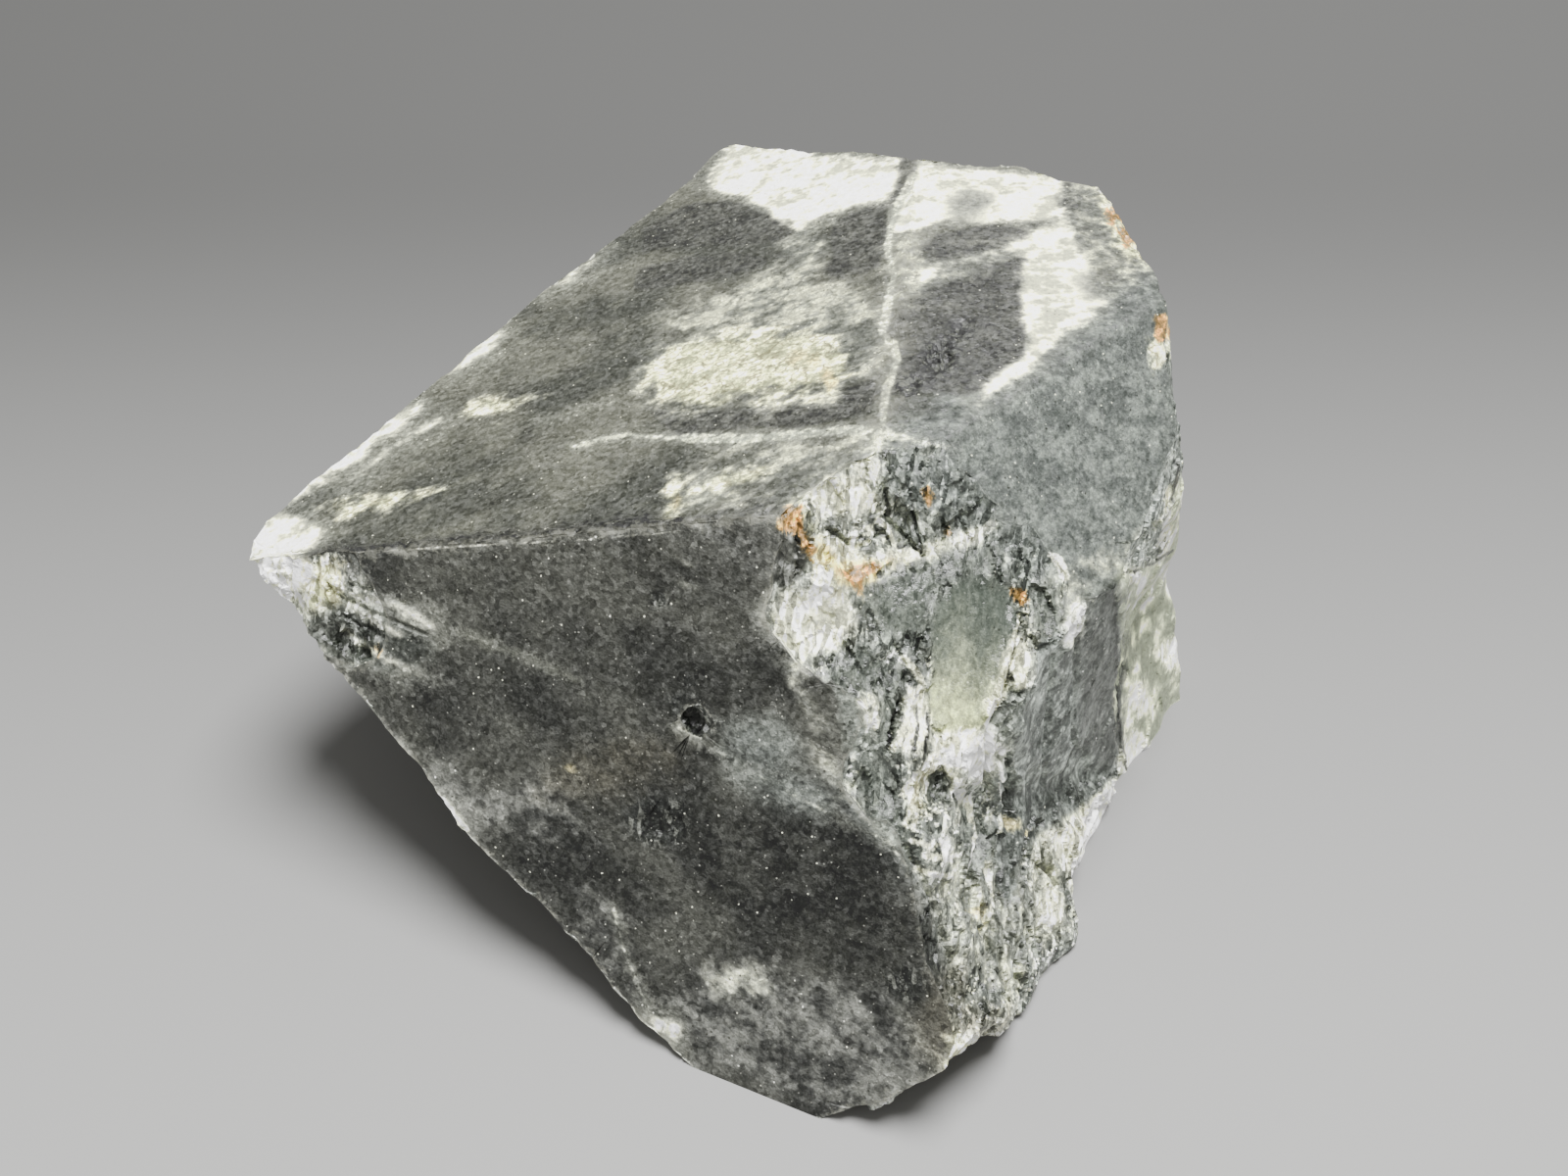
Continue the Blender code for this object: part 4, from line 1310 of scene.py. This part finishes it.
        # Thin darker folds run through the cream.
        folds = self.stirred("folds", self.noise(self.drawn_out, *FOLDS))
        folds = self.node("Math", {0: folds}, operation="ABSOLUTE").outputs[0]
        folds = self.maths("MULTIPLY", self.ramp("folds", folds), masks["cream"])
        return self.painted(folds, rock, FOLD), masks

    def covered(self, masks, shares):
        """How much any of some markings covers, each by its share."""
        covers = [self.maths("MULTIPLY", masks[kind], share) for kind, share in shares.items()]
        return self.maths("MAXIMUM", *covers)

    def grained(self, rock, even, rough_parts):
        """The rock with its grain, which is weaker where the crystal is even."""
        grain = self.stirred("grain", self.fine, self.finest, self.parts(self.grains)[0])
        grain = self.maths("MULTIPLY", grain, self.ramp("grain where even", even))
        rock = self.brightened(rock, grain)
        # On the broken side each crystal has its own shade, with darker seams between some of them.
        shade = self.stirred("shade", self.large_tone[2], self.small_tone[1])
        rock = self.brightened(rock, self.maths("MULTIPLY", shade, rough_parts))
        seams = self.cells(self.crystal_place, SEAM_SIZE, "DISTANCE_TO_EDGE")["Distance"]
        seam = self.maths("MULTIPLY", self.ramp("seams", seams),
                          self.ramp("seams by place", self.middling), rough_parts, SHARES["seams"])
        return self.painted(seam, rock, SEAM)

    def worn(self, rock, even):
        """The rock with worn edges, painted shade in its carved hollows and grooves, and single grains
        painted bright as glints, or dark where they have fallen out.
        """
        rim = self.stirred("rim", self.middling, self.fine, around=self.value("edge"))
        rim = self.maths("MULTIPLY", self.ramp("rim", rim), self.maths("SUBTRACT", 1.0, self.broken),
                         self.ramp("rim where even", even),
                         self.ramp("rim at shoulder", self.value("shoulder")), SHARES["rim"])
        rock = self.painted(rim, rock, RIM)
        # Painted shade: the rock is darker where it is carved into hollows and grooves.
        rock = self.painted(self.ramp("shade in hollows", self.value("carved")), rock, HOLLOW_SHADE)
        # Painted glints: bright single grains stand for grains catching the light; the darkest are grains
        # fallen out.
        for size, rarity, width, share, level in GLINT_AND_GAP_DOTS:
            dots = self.cells(self.shift("dots", self.place), size)
            chosen = self.step(self.parts(dots["Color"])[1], rarity, rarity + DOT_CHOICE, 0.0, share)
            dot = self.maths("MULTIPLY", chosen, self.step(dots["Distance"], width, width * DOT_CORE),
                             self.ramp("dots where even", even))
            rock = self.painted(dot, rock, (level, level, level - DOT_YELLOW))
        return rock

    def lamp_divided_colour(self, rock):
        """The surface's colour from how it looks on the screen, with the sheen taken off and this lamp's
        light at each point divided out: painted counter-shade, paler where the surface faces away from the
        lamp and darker where it faces it.
        """
        shown = self.between(rock, DARKEST_SHOWN, LIGHTEST_SHOWN)
        odds = self.vector("DIVIDE", shown, self.vector("SUBTRACT", ONES, shown))
        odds = self.scaled(odds, 1.0 / SCREEN_MIDDLE)
        light = self.node("Gamma", {"Color": odds, "Gamma": SCREEN_POWER}).outputs[0]
        # Painted counter-shade: dividing by the lamp's light at each point cancels the lamp's shade on the
        # stone's forms.
        share = self.scaled(light, self.maths("DIVIDE", 1.0, self.value("lit")))
        return self.between(self.vector("SUBTRACT", share, (SHEEN,) * 3), DIMMEST, BRIGHTEST)

    def shine(self, masks):
        """How rough the surface is: smooth where it is glassy."""
        glassy = self.maths("MAXIMUM", masks["green"], masks["clear"], masks["nodules_and_highlights"],
                            self.maths("MULTIPLY", self.broken, SHARES["broken shine"]))
        glassy = self.maths("MULTIPLY", glassy, SHARES["glassy"])
        matt = self.ramp("matt", self.stirred("matt", self.small_tone[2], self.fine))
        return self.mixed("FLOAT", glassy, matt, GLASSY)

    def lie(self, calm):
        """The way each spot faces: every crystal lies a little differently, so that it shines."""
        leans = ((self.grains, GRAIN_LEAN), (self.large, LARGE_LEAN), (self.small, SMALL_LEAN))
        grain, large, small = [self.scaled(self.vector("SUBTRACT", colour, HALVES), amount)
                               for colour, amount in leans]
        crystals = self.scaled(self.vector("ADD", large, small), self.ramp("crystals where calm", calm))
        lean = self.mixed("VECTOR", self.broken, grain, crystals)
        facing = self.vector("ADD", self.node("NewGeometry", {}).outputs["Normal"], lean)
        bump = self.node("Bump", {
            "Strength": BUMP_STRENGTH,
            "Distance": BUMP_HEIGHT * MM,
            "Height": self.stirred("bump", self.finest, around=self.fine),
            "Normal": self.node("VectorMath", {0: facing}, operation="NORMALIZE").outputs["Vector"],
        })
        return bump.outputs["Normal"]

    def finish(self):
        """Connects everything to the surface, and gives the material."""
        rock, masks = self.marked(self.bare_rock())
        # The palest parts are more even than the rest, and some parts of the broken side are calmer.
        even = self.covered(masks, EVEN)
        far_calm = self.maths("MULTIPLY", self.far, SHARES["far calm"])
        calm = self.maths("MAXIMUM", self.covered(masks, CALM), far_calm)
        rough_parts = self.maths("MULTIPLY", self.broken, self.ramp("crystals where calm", calm))
        rock = self.worn(self.grained(rock, even, rough_parts), even)
        self.put(self.surface, {
            "Base Color": self.lamp_divided_colour(rock),
            "Roughness": self.shine(masks),
            "IOR": REFRACTION,
            "Specular IOR Level": SPECULAR,
            "Normal": self.lie(calm),
        })
        return self.material


def floor_material():
    shader = Shader("floor finish")
    depth = shader.node("SeparateXYZ", {0: shader.place}).outputs["Y"]
    # Painted light: the floor is painted darker towards the back, as the light falls off.
    colour = shader.mixed("RGBA", shader.step(depth, *FLOOR_LIGHT_FALLOFF), FLOOR_NEAR, FLOOR_FAR)
    shader.put(shader.surface, {"Base Color": colour, "Roughness": FLOOR_ROUGHNESS})
    return shader.material


def make_object(name, data):
    made = bpy.data.objects.new(name, data)
    bpy.context.scene.collection.objects.link(made)
    return made


def make_camera():
    data = bpy.data.cameras.new("camera")
    data.lens, data.sensor_width = LENS, SENSOR
    data.clip_start, data.clip_end = CAMERA_REACH
    camera = make_object("camera", data)
    camera.location = EYE * MM
    camera.rotation_euler = (LOOKS_DOWN, 0.0, 0.0)
    bpy.context.scene.camera = camera


def make_lights():
    world = bpy.data.worlds.new("studio")
    world.use_nodes = True
    background = world.node_tree.nodes["Background"]
    background.inputs["Color"].default_value = WORLD_COLOUR
    background.inputs["Strength"].default_value = WORLD_STRENGTH
    bpy.context.scene.world = world
    data = bpy.data.lights.new("window", "AREA")
    data.energy, data.shape, data.size = LAMP_POWER, "DISK", LAMP_SIZE
    lamp = make_object("window", data)
    lamp.location = LAMP_PLACE
    lamp.rotation_euler = (Vector(LAMP_AIM) - Vector(LAMP_PLACE)).to_track_quat("-Z", "Y").to_euler()


def make_floor():
    shape = bmesh.new()
    bmesh.ops.create_grid(shape, x_segments=2, y_segments=2, size=FLOOR_SIZE)
    mesh = bpy.data.meshes.new("floor")
    shape.to_mesh(mesh)
    shape.free()
    mesh.materials.append(floor_material())
    make_object("floor", mesh)


make_camera()
make_lights()
make_floor()
stone = make_object("stone_skin", stone_mesh(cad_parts["stone"]))
stone.data.materials.append(StoneShader().finish())
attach(stone, "root")
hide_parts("stone")
